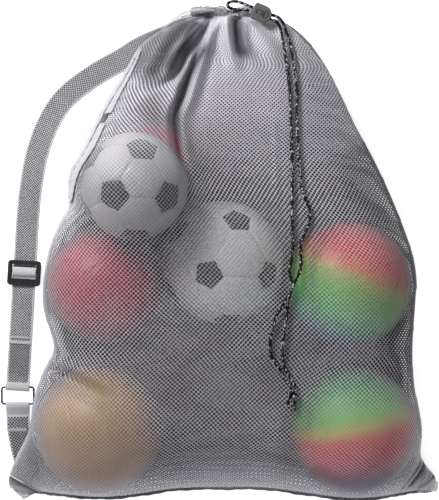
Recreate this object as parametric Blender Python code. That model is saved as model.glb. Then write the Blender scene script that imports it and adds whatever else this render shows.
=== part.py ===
"""Mesh ball bag, packed with seven balls and lying on its back. Metres, +Z up.

The bag's length runs along +Y, from the sewn bottom to the drawn-up mouth, and +X is across it.
The origin is on the floor, under the middle of the bag.
"""

import math

import bmesh
import bpy
import numpy as np
from mathutils import Matrix, Vector

# ---- driving dimensions -------------------------------------------------------------------------
NET = 0.0012            # thickness of the net cloth
GAP = 0.0004            # clearance between pieces that touch
NET_OVER_BALL = 0.0058  # from a ball's surface to the middle of the net that lies over it
BINDING_OUT = 0.0070    # from the panels' rims to the middle of the binding
BINDING_STEP = 0.022
BINDING_SIZE = (0.003, 0.005)
NET_UNDER_BALL = 0.0150 # the back panel hangs looser, so that it lies flat under each ball
PANEL_APART = 0.0045    # least height between the two panels' middles
PANEL_MARGIN = 0.020    # how far outside a ball the back panel stays below its middle
FLOOR_LIFT = 0.0046     # height of the back panel where webbing runs under it
PANEL_COLUMNS = 24
PANEL_ROWS = 28
ROW_CROWDING = 1.2      # above 1, the rows lie closer together near the bottom
PANEL_LIFT = 0.02       # how far a panel starts from its rim's surface before it is drawn tight
SETTLE_ROUNDS = 900

BALL_WALL = 0.003
BALL_SIDES = 12
BALL_RINGS = 6
VALVE_HOLE = 0.004

WEB_WIDTH = 0.040
WEB = 0.0012
LAYER_1 = 0.0009        # middle height of the webbing layer on the floor
LAYER_2 = 0.0024        # the layer on top of it
LAYER_3 = 0.0039        # and the third
WEB_STEP = 0.016        # distance between a curved webbing's points
TURN_START = 0.001      # from a bar's middle to where webbing begins to turn round it
TURN_REACH = 0.0052     # how far the webbing goes past the bar
TURN_RISE = 0.0043      # and how far above and below the bar's middle
# webbing coming back from its turn: distance from the bar's middle, and height
COME_BACK = [(0.005, 0.0090), (0.012, 0.0058), (0.019, 0.0030)]

CORD = 0.0056           # drawcord diameter
CORD_STEP = 0.016       # distance between a cord's points
TAIL_STEP = 0.004

RING_WIRE = 0.0034
RING_HALF = (0.0278, 0.0145)
RING_CORNER = 0.004
RING_CENTRE = Vector((-0.3515, -0.2490, 0.0052))

SLIDER_LENGTH = 0.044
SLIDER_WIDTH = 0.058
SLIDER_THICK = 0.0036
SLIDER_BASE = 0.0048
SLIDER_UP = 0.199       # from the strap's foot to the slider's middle
SLIDER_CORNER = 0.006
SLOT_WIDTH = 0.0420
SLOTS = (("upper_slot", 0.0045, 0.0150), ("lower_slot", -0.0100, 0.0005))
# the webbing end round the slider's middle bar: distance up from the slider's middle, and height
SLIDER_WEB = [
    (-0.124, LAYER_3), (-0.060, LAYER_3), (-0.010, LAYER_3), (-0.0070, 0.0044),
    (-0.0052, 0.0062), (-0.0035, 0.0082), (-0.0010, 0.0094), (0.0025, 0.0097),
    (0.0060, 0.0094), (0.0085, 0.0082), (0.0102, 0.0062), (0.0092, 0.0044), (0.0065, 0.0038),
    (0.0010, 0.0037),
]

LOCK_CENTRE = Vector((0.0726, 0.4096, 0.0660))
LOCK_AXIS = Vector((0.930, -0.3666, 0.0)).normalized()
LOCK_LENGTH = 0.034
LOCK_WIDTH = 0.029
LOCK_THICK = 0.012
LOCK_CHAMFER = 0.003    # on the lock's square corners
LOCK_BORE = (0.05, 0.0160, 0.0068)
LOCK_BORE_DOWN = 0.0010
LOCK_POCKET = (0.0160, 0.0080, 0.0044)
LOCK_POCKET_BACK = 0.0030
THUMB_SLIDE = (0.0070, 0.0072, 0.0028)
THUMB_SLIDE_AHEAD = 0.0010
THUMB_SLIDE_SUNK = 0.0004

HEM_CENTRE = Vector((0.006, 0.4190, 0.0240))
HEM_HALF = (0.0500, 0.0165)
HEM_RADIUS = 0.0055
HEM_BORE = 0.0036
HEM_GAP_X = (-0.0020, 0.0320)
HEM_STEPS = 31
HEM_SIDES = 8

# centre x, centre y and radius of the balls that lie on the back panel
BALLS = {
    "ball_soccer_low": (0.0045, -0.0162, 0.1040),
    "ball_red": (-0.1960, -0.0553, 0.0980),
    "ball_yellow": (-0.2045, -0.2985, 0.1080),
    "ball_rainbow_mid": (0.2175, -0.0536, 0.1070),
    "ball_rainbow_low": (0.2265, -0.3000, 0.1070),
    "ball_pink": (-0.1144, 0.1584, 0.0690),
}
TOP_BALL = "ball_soccer_top"
TOP_BALL_XY = (-0.1415, 0.1097)
TOP_BALL_RADIUS = 0.0890
BALL_REST = 0.0024      # height of a ball's lowest point above the floor

# the seam between the panels: mouth to corner on the left, along the bottom, corner to mouth
SEAM_LEFT = [
    (-0.0460, 0.4085, 0.024),
    (-0.0975, 0.3872, 0.050),
    (-0.1365, 0.3550, 0.070),
    (-0.1601, 0.3131, 0.085),
    (-0.1981, 0.2450, 0.110),
    (-0.2302, 0.1708, 0.140),
    (-0.2512, 0.1299, 0.155),
    (-0.2535, 0.0798, 0.145),
    (-0.2700, 0.0515, 0.125),
    (-0.2896, 0.0042, 0.110),
    (-0.2993, -0.0518, 0.105),
    (-0.2989, -0.0977, 0.100),
    (-0.2829, -0.1613, 0.085),
    (-0.3013, -0.2037, 0.090),
    (-0.3159, -0.2507, 0.100),
    (-0.3249, -0.3025, 0.090),
    (-0.3439, -0.3399, 0.050),
    (-0.3586, -0.3702, 0.022),
    (-0.3660, -0.3958, 0.010),
    (-0.3598, -0.4090, 0.008),
]
SEAM_BOTTOM = [
    (-0.3598, -0.4090, 0.008),
    (-0.3402, -0.4140, 0.014),
    (-0.3068, -0.4120, 0.040),
    (-0.2519, -0.4130, 0.090),
    (-0.2000, -0.4145, 0.105),
    (-0.1462, -0.4120, 0.090),
    (-0.0685, -0.4050, 0.050),
    (0.0176, -0.4040, 0.045),
    (0.0778, -0.4040, 0.050),
    (0.1370, -0.4090, 0.080),
    (0.2126, -0.4160, 0.105),
    (0.2696, -0.4160, 0.090),
    (0.3157, -0.4130, 0.045),
    (0.3471, -0.4120, 0.020),
    (0.3720, -0.4110, 0.008),
]
SEAM_RIGHT = [
    (0.0580, 0.4085, 0.024),
    (0.1037, 0.4000, 0.036),
    (0.1411, 0.3734, 0.052),
    (0.1718, 0.3344, 0.062),
    (0.1990, 0.2852, 0.070),
    (0.2296, 0.2198, 0.075),
    (0.2652, 0.1529, 0.080),
    (0.2986, 0.0775, 0.090),
    (0.3250, 0.0042, 0.100),
    (0.3330, -0.0433, 0.108),
    (0.3315, -0.0806, 0.105),
    (0.3276, -0.1662, 0.090),
    (0.3310, -0.2258, 0.090),
    (0.3385, -0.2677, 0.100),
    (0.3430, -0.3017, 0.100),
    (0.3455, -0.3486, 0.050),
    (0.3597, -0.3724, 0.018),
    (0.3738, -0.3904, 0.010),
    (0.3720, -0.4110, 0.008),
]

# the middle line of the strap on the floor, from under the mouth to its straight run
STRAP_CURVE = [
    (-0.0240, 0.4000),
    (-0.0519, 0.3929),
    (-0.1042, 0.3720),
    (-0.1391, 0.3563),
    (-0.1669, 0.3389),
    (-0.2209, 0.3076),
    (-0.2697, 0.2692),
    (-0.2985, 0.2257),
    (-0.3185, 0.1716),
    (-0.3290, 0.1159),
]
STRAP_FOOT = Vector((-0.3520, -0.2345, 0.0))
STRAP_HEAD = Vector((-0.3335, 0.0793, 0.0))
STRAP_UP = (STRAP_HEAD - STRAP_FOOT).normalized()
TAB_END = Vector((-0.3360, -0.3720, 0.0))

# the drawcord's two strands, from the gathered mouth through the lock and down over the front
STRAND_RIGHT = [
    (0.0311, 0.4190, 0.0385),
    (0.0245, 0.4198, 0.0405),
    (0.0165, 0.4225, 0.0440),
    (0.0130, 0.4262, 0.0510),
    (0.0170, 0.4300, 0.0585),
    (0.0260, 0.4310, 0.0630),
    (0.0360, 0.4285, 0.0650),
    (0.0462, 0.4245, 0.0652),
    (0.0583, 0.4197, 0.0650),
    (0.0741, 0.4135, 0.0650),
    (0.0899, 0.4073, 0.0650),
    (0.1001, 0.4032, 0.0650),
    (0.1090, 0.3930, 0.0655),
    (0.1150, 0.3750, 0.0690),
    (0.1218, 0.3515, 0.0780),
    (0.1249, 0.3284, 0.0880),
    (0.1296, 0.2984, 0.1020),
    (0.1308, 0.2668, 0.1160),
    (0.1300, 0.2147, 0.1400),
    (0.1325, 0.1547, 0.1665),
    (0.1368, 0.1040, 0.1865),
    (0.1449, 0.0823, 0.1920),
    (0.1497, 0.0672, 0.1965),
    (0.1479, 0.0506, 0.2015),
    (0.1393, 0.0289, 0.2095),
    (0.1335, 0.0124, 0.2135),
    (0.1345, -0.0157, 0.2180),
    (0.1315, -0.0322, 0.2215),
    (0.1249, -0.0454, 0.2270),
    (0.1174, -0.0619, 0.2272),
    (0.1075, -0.0816, 0.2255),
    (0.0955, -0.0998, 0.2215),
    (0.0878, -0.1246, 0.2190),
    (0.0829, -0.1527, 0.2172),
    (0.0879, -0.1775, 0.2155),
    (0.1010, -0.1958, 0.2142),
    (0.1110, -0.2120, 0.2135),
    (0.1160, -0.2228, 0.2142),
]
STRAND_LEFT = [
    (-0.0010, 0.4190, 0.0408),
    (0.0060, 0.4180, 0.0425),
    (0.0140, 0.4150, 0.0475),
    (0.0270, 0.4140, 0.0580),
    (0.0431, 0.4167, 0.0645),
    (0.0553, 0.4119, 0.0650),
    (0.0711, 0.4057, 0.0650),
    (0.0869, 0.3995, 0.0650),
    (0.0971, 0.3954, 0.0655),
    (0.1030, 0.3860, 0.0680),
    (0.1075, 0.3680, 0.0740),
    (0.1105, 0.3459, 0.0835),
    (0.1151, 0.3104, 0.1005),
    (0.1188, 0.2666, 0.1198),
    (0.1198, 0.2145, 0.1432),
    (0.1206, 0.1546, 0.1705),
    (0.1200, 0.1039, 0.1912),
    (0.1195, 0.0538, 0.2065),
    (0.1201, 0.0124, 0.2152),
    (0.1183, -0.0124, 0.2188),
    (0.1150, -0.0289, 0.2205),
    (0.1174, -0.0421, 0.2210),
    (0.1207, -0.0503, 0.2210),
    (0.1174, -0.0640, 0.2210),
    (0.1120, -0.0816, 0.2208),
    (0.1109, -0.0982, 0.2204),
    (0.1070, -0.1279, 0.2190),
    (0.1030, -0.1610, 0.2171),
    (0.1060, -0.1858, 0.2155),
    (0.1150, -0.2050, 0.2143),
    (0.1215, -0.2150, 0.2140),
    (0.1235, -0.2225, 0.2142),
]
TAIL_LONG = [(0.1218, -0.2452, 0.2135), (0.1232, -0.2520, 0.2120), (0.1240, -0.2620, 0.2120)]
TAIL_SHORT = [(0.1145, -0.2440, 0.2138), (0.1125, -0.2490, 0.2125), (0.1115, -0.2560, 0.2122)]
KNOT_CENTRE = Vector((0.1195, -0.2338, 0.2148))
KNOT_SIZE = (0.0190, 0.0205, 0.0130)


# ---- helpers ------------------------------------------------------------------------------------
def material(name, colour, roughness, metallic=0.0):
    mat = bpy.data.materials.new(name)
    mat.use_nodes = True
    shader = mat.node_tree.nodes["Principled BSDF"]
    shader.inputs["Base Color"].default_value = (*colour, 1.0)
    shader.inputs["Roughness"].default_value = roughness
    shader.inputs["Metallic"].default_value = metallic
    return mat


def place(name, data, mat, parent=None):
    obj = bpy.data.objects.new(name, data)
    bpy.context.scene.collection.objects.link(obj)
    obj.data.materials.append(mat)
    if parent:
        obj.parent = parent
        obj.matrix_parent_inverse = Matrix.Translation(parent.location).inverted()
    return obj


def mesh_object(name, verts, faces, mat, parent=None, smooth=True):
    mesh = bpy.data.meshes.new(name)
    mesh.from_pydata([tuple(v) for v in verts], [], faces)
    mesh.validate()
    bm = bmesh.new()
    bm.from_mesh(mesh)
    bmesh.ops.recalc_face_normals(bm, faces=bm.faces)
    bm.to_mesh(mesh)
    bm.free()
    if smooth:
        mesh.shade_smooth()
        mesh.set_sharp_from_angle(angle=math.radians(40))
    return place(name, mesh, mat, parent)


def joint_origin(name, location):
    """An empty on a joint's axis, which the moving pieces are parented to."""
    empty = bpy.data.objects.new(name, None)
    empty.location = location
    bpy.context.scene.collection.objects.link(empty)
    return empty


def smooth_line(points, step):
    """Points about step apart on a Catmull-Rom curve through the given points."""
    pts = [Vector(p) for p in points]
    pts = [2 * pts[0] - pts[1]] + pts + [2 * pts[-1] - pts[-2]]
    fine = []
    for a, b, c, d in zip(pts, pts[1:], pts[2:], pts[3:]):
        for k in range(16):
            t = k / 16
            fine.append(
                0.5 * (2 * b + (c - a) * t + (2 * a - 5 * b + 4 * c - d) * t * t
                       + (3 * b - a - 3 * c + d) * t ** 3)
            )
    fine.append(pts[-2])
    along = np.concatenate([[0], np.cumsum([(q - p).length for p, q in zip(fine, fine[1:])])])
    count = max(2, round(along[-1] / step) + 1)
    wanted = np.linspace(0, along[-1], count)
    columns = [np.interp(wanted, along, [p[i] for p in fine]) for i in range(3)]
    return [Vector(p) for p in zip(*columns)]


def swept(name, path, sides, profile, mat, parent=None):
    """A closed solid: profile (across, out) carried along path, with flat ends."""
    rings = []
    for i, point in enumerate(path):
        ahead = (path[min(i + 1, len(path) - 1)] - path[max(i - 1, 0)]).normalized()
        side = (sides[i] - ahead * sides[i].dot(ahead)).normalized()
        out = ahead.cross(side)
        rings.append([point + side * a + out * b for a, b in profile])
    n = len(profile)
    verts = [v for ring in rings for v in ring]
    faces = [list(range(n))[::-1], [len(verts) - n + k for k in range(n)]]
    for i in range(len(rings) - 1):
        for k in range(n):
            j = (k + 1) % n
            faces.append([i * n + k, i * n + j, (i + 1) * n + j, (i + 1) * n + k])
    return mesh_object(name, verts, faces, mat, parent)


def rectangle(width, thick):
    w, t = width / 2, thick / 2
    return [(-w, -t), (w, -t), (w, t), (-w, t)]


def across_plan(path):
    """The horizontal direction square to the path, at each of its points."""
    sides = []
    for i in range(len(path)):
        ahead = path[min(i + 1, len(path) - 1)] - path[max(i - 1, 0)]
        sides.append(Vector((ahead.y, -ahead.x, 0)).normalized())
    return sides


def tube(name, path, radius, mat, cyclic=False):
    curve = bpy.data.curves.new(name, "CURVE")
    curve.dimensions = "3D"
    curve.bevel_depth = radius
    curve.bevel_resolution = 2
    curve.use_fill_caps = not cyclic
    spline = curve.splines.new("POLY")
    spline.points.add(len(path) - 1)
    for point, co in zip(spline.points, path):
        point.co = (*co, 1.0)
    spline.use_cyclic_u = cyclic
    return place(name, curve, mat)


def box(name, size, centre, rotation, mat, parent=None, bevel=0.0):
    bm = bmesh.new()
    bmesh.ops.create_cube(bm, size=1.0)
    bmesh.ops.scale(bm, vec=size, verts=bm.verts)
    if bevel:
        bmesh.ops.bevel(bm, geom=bm.edges[:], offset=bevel, segments=1, affect="EDGES")
    bmesh.ops.transform(bm, matrix=Matrix.Translation(centre) @ rotation, verts=bm.verts)
    mesh = bpy.data.meshes.new(name)
    bm.to_mesh(mesh)
    bm.free()
    return place(name, mesh, mat, parent)


def plate(name, outline, thick, matrix, mat, parent=None, bevel=0.0006):
    """An outline in the local XY plane, thickened about it and with its edges broken."""
    bm = bmesh.new()
    ring = [bm.verts.new((x, y, -thick / 2)) for x, y in outline]
    face = bm.faces.new(ring)
    top = bmesh.ops.extrude_face_region(bm, geom=[face])
    moved = [v for v in top["geom"] if isinstance(v, bmesh.types.BMVert)]
    bmesh.ops.translate(bm, vec=(0, 0, thick), verts=moved)
    bmesh.ops.recalc_face_normals(bm, faces=bm.faces)
    rims = [e for e in bm.edges if abs(e.verts[0].co.z - e.verts[1].co.z) < 1e-6]
    bmesh.ops.bevel(bm, geom=rims, offset=bevel, segments=1, affect="EDGES")
    bmesh.ops.transform(bm, matrix=matrix, verts=bm.verts)
    mesh = bpy.data.meshes.new(name)
    bm.to_mesh(mesh)
    bm.free()
    return place(name, mesh, mat, parent)


def cut(obj, name, size, centre, rotation):
    """Cuts a box out of obj with a hidden cutter."""
    cutter = box(name, size, centre, rotation, obj.data.materials[0], obj.parent)
    cutter.hide_render = True
    cutter.display_type = "WIRE"
    modifier = obj.modifiers.new(name, "BOOLEAN")
    modifier.operation = "DIFFERENCE"
    modifier.object = cutter


def rounded_rectangle(half_x, half_y, radius, steps):
    points = []
    for cx, cy, start in ((1, 1, 0), (-1, 1, 90), (-1, -1, 180), (1, -1, 270)):
        for k in range(steps + 1):
            a = math.radians(start + 90 * k / steps)
            x = cx * (half_x - radius) + radius * math.cos(a)
            y = cy * (half_y - radius) + radius * math.sin(a)
            points.append((x, y))
    return points


# ---- the bag ------------------------------------------------------------------------------------
def ball_list():
    """Centre and radius of every ball; the top one rests against the pink one below it."""
    balls = {
        name: (Vector((x, y, radius + BALL_REST)), radius)
        for name, (x, y, radius) in BALLS.items()
    }
    below, below_radius = balls["ball_pink"]
    x, y = TOP_BALL_XY
    aside = math.hypot(x - below.x, y - below.y)
    touch = below_radius + TOP_BALL_RADIUS + GAP
    height = below.z + math.sqrt(touch ** 2 - aside ** 2)
    balls[TOP_BALL] = (Vector((x, y, height)), TOP_BALL_RADIUS)
    return balls


def seam_points(points, fractions):
    """Points at the given fractions of a smooth seam's length."""
    line = smooth_line(points, 0.004)
    at = np.linspace(0, 1, len(line))
    return np.stack([np.interp(fractions, at, [p[i] for p in line]) for i in range(3)], axis=-1)


def mouth_edge(across, sign):
    """The panel's top edge, which follows the upper or lower half of the gathered hem."""
    left, right = SEAM_LEFT[0], SEAM_RIGHT[0]
    x = left[0] + (right[0] - left[0]) * across
    z = HEM_CENTRE.z + sign * HEM_HALF[1] * np.sin(math.pi * across)
    return np.stack([x, np.full_like(x, left[1]), z], axis=-1)


def panel_grid(sign):
    """A panel's grid of points: sign +1 is the front, over the balls, and -1 the back, under them."""
    across = (1 - np.cos(np.linspace(0, math.pi, PANEL_COLUMNS + 1))) / 2
    along = np.linspace(0, 1, PANEL_ROWS + 1) ** ROW_CROWDING
    left = seam_points(SEAM_LEFT[::-1], along)[:, None]
    right = seam_points(SEAM_RIGHT[::-1], along)[:, None]
    bottom = seam_points(SEAM_BOTTOM, across)[None]
    top = mouth_edge(across, sign)[None]
    g = across[None, :, None]
    f = along[:, None, None]
    corners = (1 - f) * ((1 - g) * bottom[:, :1] + g * bottom[:, -1:])
    corners = corners + f * ((1 - g) * top[:, :1] + g * top[:, -1:])
    grid = (1 - g) * left + g * right + (1 - f) * bottom + f * top - corners
    grid[1:-1, 1:-1, 2] += sign * PANEL_LIFT
    return grid


def ball_heights(grid, sign):
    """Height of the balls' upper (or lower) side at each grid point, and past it where there is none.

    The back panel also stays below a ball's middle for a little way outside the ball.
    """
    height = np.full(grid.shape[:2], -1.0)
    for centre, radius in ball_list().values():
        reach = radius + (NET_OVER_BALL if sign > 0 else NET_UNDER_BALL)
        aside = np.hypot(grid[..., 0] - centre.x, grid[..., 1] - centre.y)
        cap = np.sqrt(np.maximum(reach ** 2 - aside ** 2, 0))
        margin = 0 if sign > 0 else PANEL_MARGIN
        here = np.where(aside < reach + margin, cap + sign * centre.z, -1.0)
        height = np.maximum(height, here)
    return sign * height


def floor_heights(grid):
    """Lowest height of the back panel, which is lifted where the strap and the tab pass under it."""
    x, y = grid[..., 0], grid[..., 1]
    lifted = (y > 0.235) | ((x < -0.27) & (y < -0.30))
    return np.where(lifted, FLOOR_LIFT, NET / 2)


def settle(grid, sign):
    """Draws the net tight: every free point takes its neighbours' mean height, clear of the balls."""
    balls = ball_heights(grid, sign)
    floor = floor_heights(grid)
    z = grid[..., 2]
    for _ in range(SETTLE_ROUNDS):
        mean = (z[:-2, 1:-1] + z[2:, 1:-1] + z[1:-1, :-2] + z[1:-1, 2:]) / 4
        if sign > 0:
            z[1:-1, 1:-1] = np.maximum(mean, balls[1:-1, 1:-1])
        else:
            sunk = np.minimum(mean, balls[1:-1, 1:-1])
            z[1:-1, 1:-1] = np.maximum(sunk, floor[1:-1, 1:-1])
    return grid


def panel(name, sign, mat):
    grid = settle(panel_grid(sign), sign)
    if sign > 0:
        under = settle(panel_grid(-1), -1)
        grid[..., 2] = np.maximum(grid[..., 2], under[..., 2] + PANEL_APART) + NET
    else:
        rim = np.ones(grid.shape[:2], bool)
        rim[1:-1, 1:-1] = False
        grid[..., 2] -= NET * rim
    rows, columns = grid.shape[:2]
    faces = []
    for j in range(rows - 1):
        for i in range(columns - 1):
            a = j * columns + i
            quad = [a, a + 1, a + columns + 1, a + columns]
            faces.append(quad if sign > 0 else quad[::-1])
    mesh = bpy.data.meshes.new(name)
    mesh.from_pydata([tuple(p) for p in grid.reshape(-1, 3)], [], faces)
    mesh.shade_smooth()
    obj = place(name, mesh, mat)
    shell = obj.modifiers.new("cloth", "SOLIDIFY")
    shell.thickness = NET
    shell.offset = 0.0
    shell.use_rim = True
    return obj


def binding(name, points, outward, mat):
    """The narrow folded edge just outside the two panels."""
    path = smooth_line(points, BINDING_STEP)[1:-1]
    sides = across_plan(path)
    moved = [p + s * outward * BINDING_OUT for p, s in zip(path, sides)]
    return swept(name, moved, sides, rectangle(*BINDING_SIZE), mat)


def ring_of(centre, axes, radius, count):
    a, b = axes
    turn = [2 * math.pi * k / count for k in range(count)]
    return [centre + radius * (math.cos(t) * a + math.sin(t) * b) for t in turn]


def ball(name, centre, radius, valve_axis, mat, valve_mat):
    """A hollow ball with its valve hole, and the rubber valve in it."""
    axis = Vector(valve_axis).normalized()
    a = axis.orthogonal().normalized()
    axes = (a, axis.cross(a))
    verts, faces, first = [], [], []
    for r in (radius, radius - BALL_WALL):
        start = math.asin(VALVE_HOLE / r)
        base = len(verts)
        first.append(base)
        for k in range(BALL_RINGS + 1):
            polar = start + (math.pi - start) * k / (BALL_RINGS + 1)
            middle = centre + axis * r * math.cos(polar)
            verts += ring_of(middle, axes, r * math.sin(polar), BALL_SIDES)
        verts.append(centre - axis * r)
        for k in range(BALL_RINGS + 1):
            for i in range(BALL_SIDES):
                j = (i + 1) % BALL_SIDES
                here = base + k * BALL_SIDES
                if k < BALL_RINGS:
                    faces.append([here + i, here + j, here + BALL_SIDES + j, here + BALL_SIDES + i])
                else:
                    faces.append([here + i, here + j, len(verts) - 1])
    for i in range(BALL_SIDES):
        j = (i + 1) % BALL_SIDES
        faces.append([first[0] + i, first[0] + j, first[1] + j, first[1] + i])
    mesh_object(name, verts, faces, mat)
    inner = centre + axis * (radius - BALL_WALL)
    outer = centre + axis * (radius - 0.0006)
    plug = ring_of(inner, axes, VALVE_HOLE - GAP, BALL_SIDES)
    plug += ring_of(outer, axes, VALVE_HOLE - GAP, BALL_SIDES)
    n = BALL_SIDES
    sides = [[i, (i + 1) % n, n + (i + 1) % n, n + i] for i in range(n)]
    sides += [list(range(n)), list(range(n, 2 * n))]
    mesh_object(name.replace("ball", "valve"), plug, sides, valve_mat)


def hem_path():
    """Points round the gathered mouth, from one side of the cord's way out to the other."""
    def angle(x):
        return math.acos((x - HEM_CENTRE.x) / HEM_HALF[0])

    start, end = angle(HEM_GAP_X[0]), angle(HEM_GAP_X[1]) + 2 * math.pi
    turns = np.linspace(start, end, HEM_STEPS)
    return [
        HEM_CENTRE + Vector((HEM_HALF[0] * math.cos(t), 0, HEM_HALF[1] * math.sin(t)))
        for t in turns
    ]


def hem_channel(mat):
    """The cloth tunnel round the mouth, hollow for the drawcord and open where the cord leaves."""
    path = hem_path()
    rings = []
    for radius in (HEM_RADIUS, HEM_BORE):
        for i, point in enumerate(path):
            ahead = (path[min(i + 1, len(path) - 1)] - path[max(i - 1, 0)]).normalized()
            side = Vector((0, 1, 0))
            rings.append(ring_of(point, (side, ahead.cross(side)), radius, HEM_SIDES))
    verts = [v for ring in rings for v in ring]
    n = HEM_SIDES
    half = len(path) * n
    faces = []
    for layer in (0, half):
        for i in range(len(path) - 1):
            for k in range(n):
                a = layer + i * n + k
                b = layer + i * n + (k + 1) % n
                faces.append([a, b, b + n, a + n])
    for start in (0, half - n):
        for k in range(n):
            j = (k + 1) % n
            faces.append([start + k, start + j, half + start + j, half + start + k])
    mesh_object("hem_channel", verts, faces, mat)


# ---- strap, slider, ring and tab ----------------------------------------------------------------
def on_strap(up, height):
    """The point at a distance up the strap's straight run and a height above the floor."""
    return STRAP_FOOT + STRAP_UP * up + Vector((0, 0, height))


def turn_round_bar(steps=8):
    """Distances past a bar, and heights, of webbing turned up round it."""
    angles = [math.pi * k / steps for k in range(1, steps)]
    return [(TURN_REACH * math.sin(a), RING_CENTRE.z - TURN_RISE * math.cos(a)) for a in angles]


def strap(mat):
    """The strap: sewn under the mouth, round the ring's upper bar and back on top of itself."""
    curve = [(x, y, LAYER_1) for x, y in STRAP_CURVE]
    curve += [tuple(on_strap(s, LAYER_1)) for s in (0.30, 0.24)]
    path = smooth_line(curve, WEB_STEP)
    sides = across_plan(path)
    straight = [(s, LAYER_1) for s in (0.16, 0.08, 0.02, -TURN_START)]
    straight += [(-TURN_START - past, z) for past, z in turn_round_bar()]
    straight += [(0.0, 0.0095)] + COME_BACK + [(0.026, LAYER_2), (0.125, LAYER_2)]
    path += [on_strap(s, z) for s, z in straight]
    sides += [Vector((-STRAP_UP.y, STRAP_UP.x, 0))] * len(straight)
    swept("strap_webbing", path, sides, rectangle(WEB_WIDTH, WEB), mat)


def ring(mat):
    outline = rounded_rectangle(*RING_HALF, RING_CORNER, 3)
    path = [RING_CENTRE + Vector((x, y, 0)) for x, y in outline]
    return tube("strap_ring", path, RING_WIRE / 2, mat, cyclic=True)


def corner_tab(mat, thread):
    """The tab that holds the ring: from the bag's corner, round the lower bar and back."""
    bar = RING_CENTRE - Vector((0, RING_HALF[1], 0))
    route = [(bar.x, bar.y - 0.024), (bar.x + 0.0010, bar.y - 0.042), (bar.x + 0.0065, bar.y - 0.072)]
    plan = smooth_line([(x, y, 0) for x, y in route] + [TAB_END], WEB_STEP)

    def at(down, height):
        return Vector((bar.x, bar.y - down, height))

    straight = [(0.010, LAYER_1), (TURN_START, LAYER_1)]
    straight += [(TURN_START - past, z) for past, z in turn_round_bar()]
    straight += [(TURN_START, 0.0095), (0.006, 0.0088), (0.012, 0.0056), (0.018, 0.0029)]
    path = [p + Vector((0, 0, LAYER_1)) for p in plan[::-1]]
    path += [at(down, z) for down, z in straight]
    path += [p + Vector((0, 0, LAYER_2)) for p in plan]
    across = [-side for side in across_plan(plan)]
    sides = across[::-1] + [Vector((1, 0, 0))] * len(straight) + across
    swept("corner_tab", path, sides, rectangle(WEB_WIDTH, WEB), mat)
    box("corner_tab_stitching", (0.030, 0.006, 0.0005), at(0.045, LAYER_2 + 0.0012), Matrix(), thread)


def slider(frame_mat, web_mat, thread):
    """The three-bar slider and the webbing end sewn round its middle bar."""
    origin = joint_origin("slider_origin", on_strap(SLIDER_UP, 0.0))
    turn = Matrix.Rotation(math.atan2(-STRAP_UP.x, STRAP_UP.y), 4, "Z")
    centre = origin.location + Vector((0, 0, SLIDER_BASE + SLIDER_THICK / 2))
    outline = rounded_rectangle(SLIDER_WIDTH / 2, SLIDER_LENGTH / 2, SLIDER_CORNER, 4)
    matrix = Matrix.Translation(centre) @ turn
    frame = plate("strap_slider", outline, SLIDER_THICK, matrix, frame_mat, origin)
    for name, low, high in SLOTS:
        middle = centre + STRAP_UP * (low + high) / 2
        cut(frame, name, (SLOT_WIDTH, high - low, 0.02), middle, turn)
    side = Vector((STRAP_UP.y, -STRAP_UP.x, 0))
    path = [origin.location + STRAP_UP * s + Vector((0, 0, z)) for s, z in SLIDER_WEB]
    swept("slider_webbing_end", path, [side] * len(path), rectangle(WEB_WIDTH, WEB), web_mat, origin)
    stitch = origin.location + STRAP_UP * -0.112 + Vector((0, 0, LAYER_3 + 0.0013))
    box("slider_end_stitching", (0.032, 0.004, 0.0006), stitch, turn, thread, origin)


# ---- drawcord and its lock ----------------------------------------------------------------------
def lock_frame():
    side = Vector((-LOCK_AXIS.y, LOCK_AXIS.x, 0))
    columns = (LOCK_AXIS, side, Vector((0, 0, 1)))
    return Matrix([[c[i] for c in columns] for i in range(3)]).to_4x4()


def cord_lock(body_mat, slide_mat):
    """The D-shaped lock: a wide bore for both strands and a thumb slide in its face."""
    turn = lock_frame()
    origin = joint_origin("lock_origin", LOCK_CENTRE)
    half = LOCK_WIDTH / 2
    tail = -LOCK_LENGTH / 2
    centre_x = LOCK_LENGTH / 2 - half
    outline = [(tail, half - LOCK_CHAMFER), (tail, LOCK_CHAMFER - half), (tail + LOCK_CHAMFER, -half)]
    for k in range(9):
        a = -math.pi / 2 + math.pi * k / 8
        outline.append((centre_x + half * math.cos(a), half * math.sin(a)))
    outline.append((tail + LOCK_CHAMFER, half))
    matrix = Matrix.Translation(LOCK_CENTRE) @ turn
    body = plate("cord_lock_body", outline, LOCK_THICK, matrix, body_mat, origin, 0.0012)
    cut(body, "lock_bore", LOCK_BORE, matrix @ Vector((0, 0, -LOCK_BORE_DOWN)), turn)
    pocket = matrix @ Vector((-LOCK_POCKET_BACK, 0, LOCK_THICK / 2))
    cut(body, "lock_pocket", LOCK_POCKET, pocket, turn)
    slide_at = matrix @ Vector((THUMB_SLIDE_AHEAD, 0, LOCK_THICK / 2 - THUMB_SLIDE_SUNK))
    pad = joint_origin("thumb_slide_origin", slide_at)
    box("cord_lock_thumb_slide", THUMB_SLIDE, slide_at, turn, slide_mat, pad, 0.0005)


def knot(mat):
    """The overhand knot that ties the two strands together, as one plain lump."""
    bm = bmesh.new()
    bmesh.ops.create_icosphere(bm, subdivisions=2, radius=0.5)
    bmesh.ops.scale(bm, vec=KNOT_SIZE, verts=bm.verts)
    bmesh.ops.translate(bm, vec=KNOT_CENTRE, verts=bm.verts)
    mesh = bpy.data.meshes.new("drawcord_knot")
    bm.to_mesh(mesh)
    bm.free()
    mesh.shade_smooth()
    place("drawcord_knot", mesh, mat)


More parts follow.
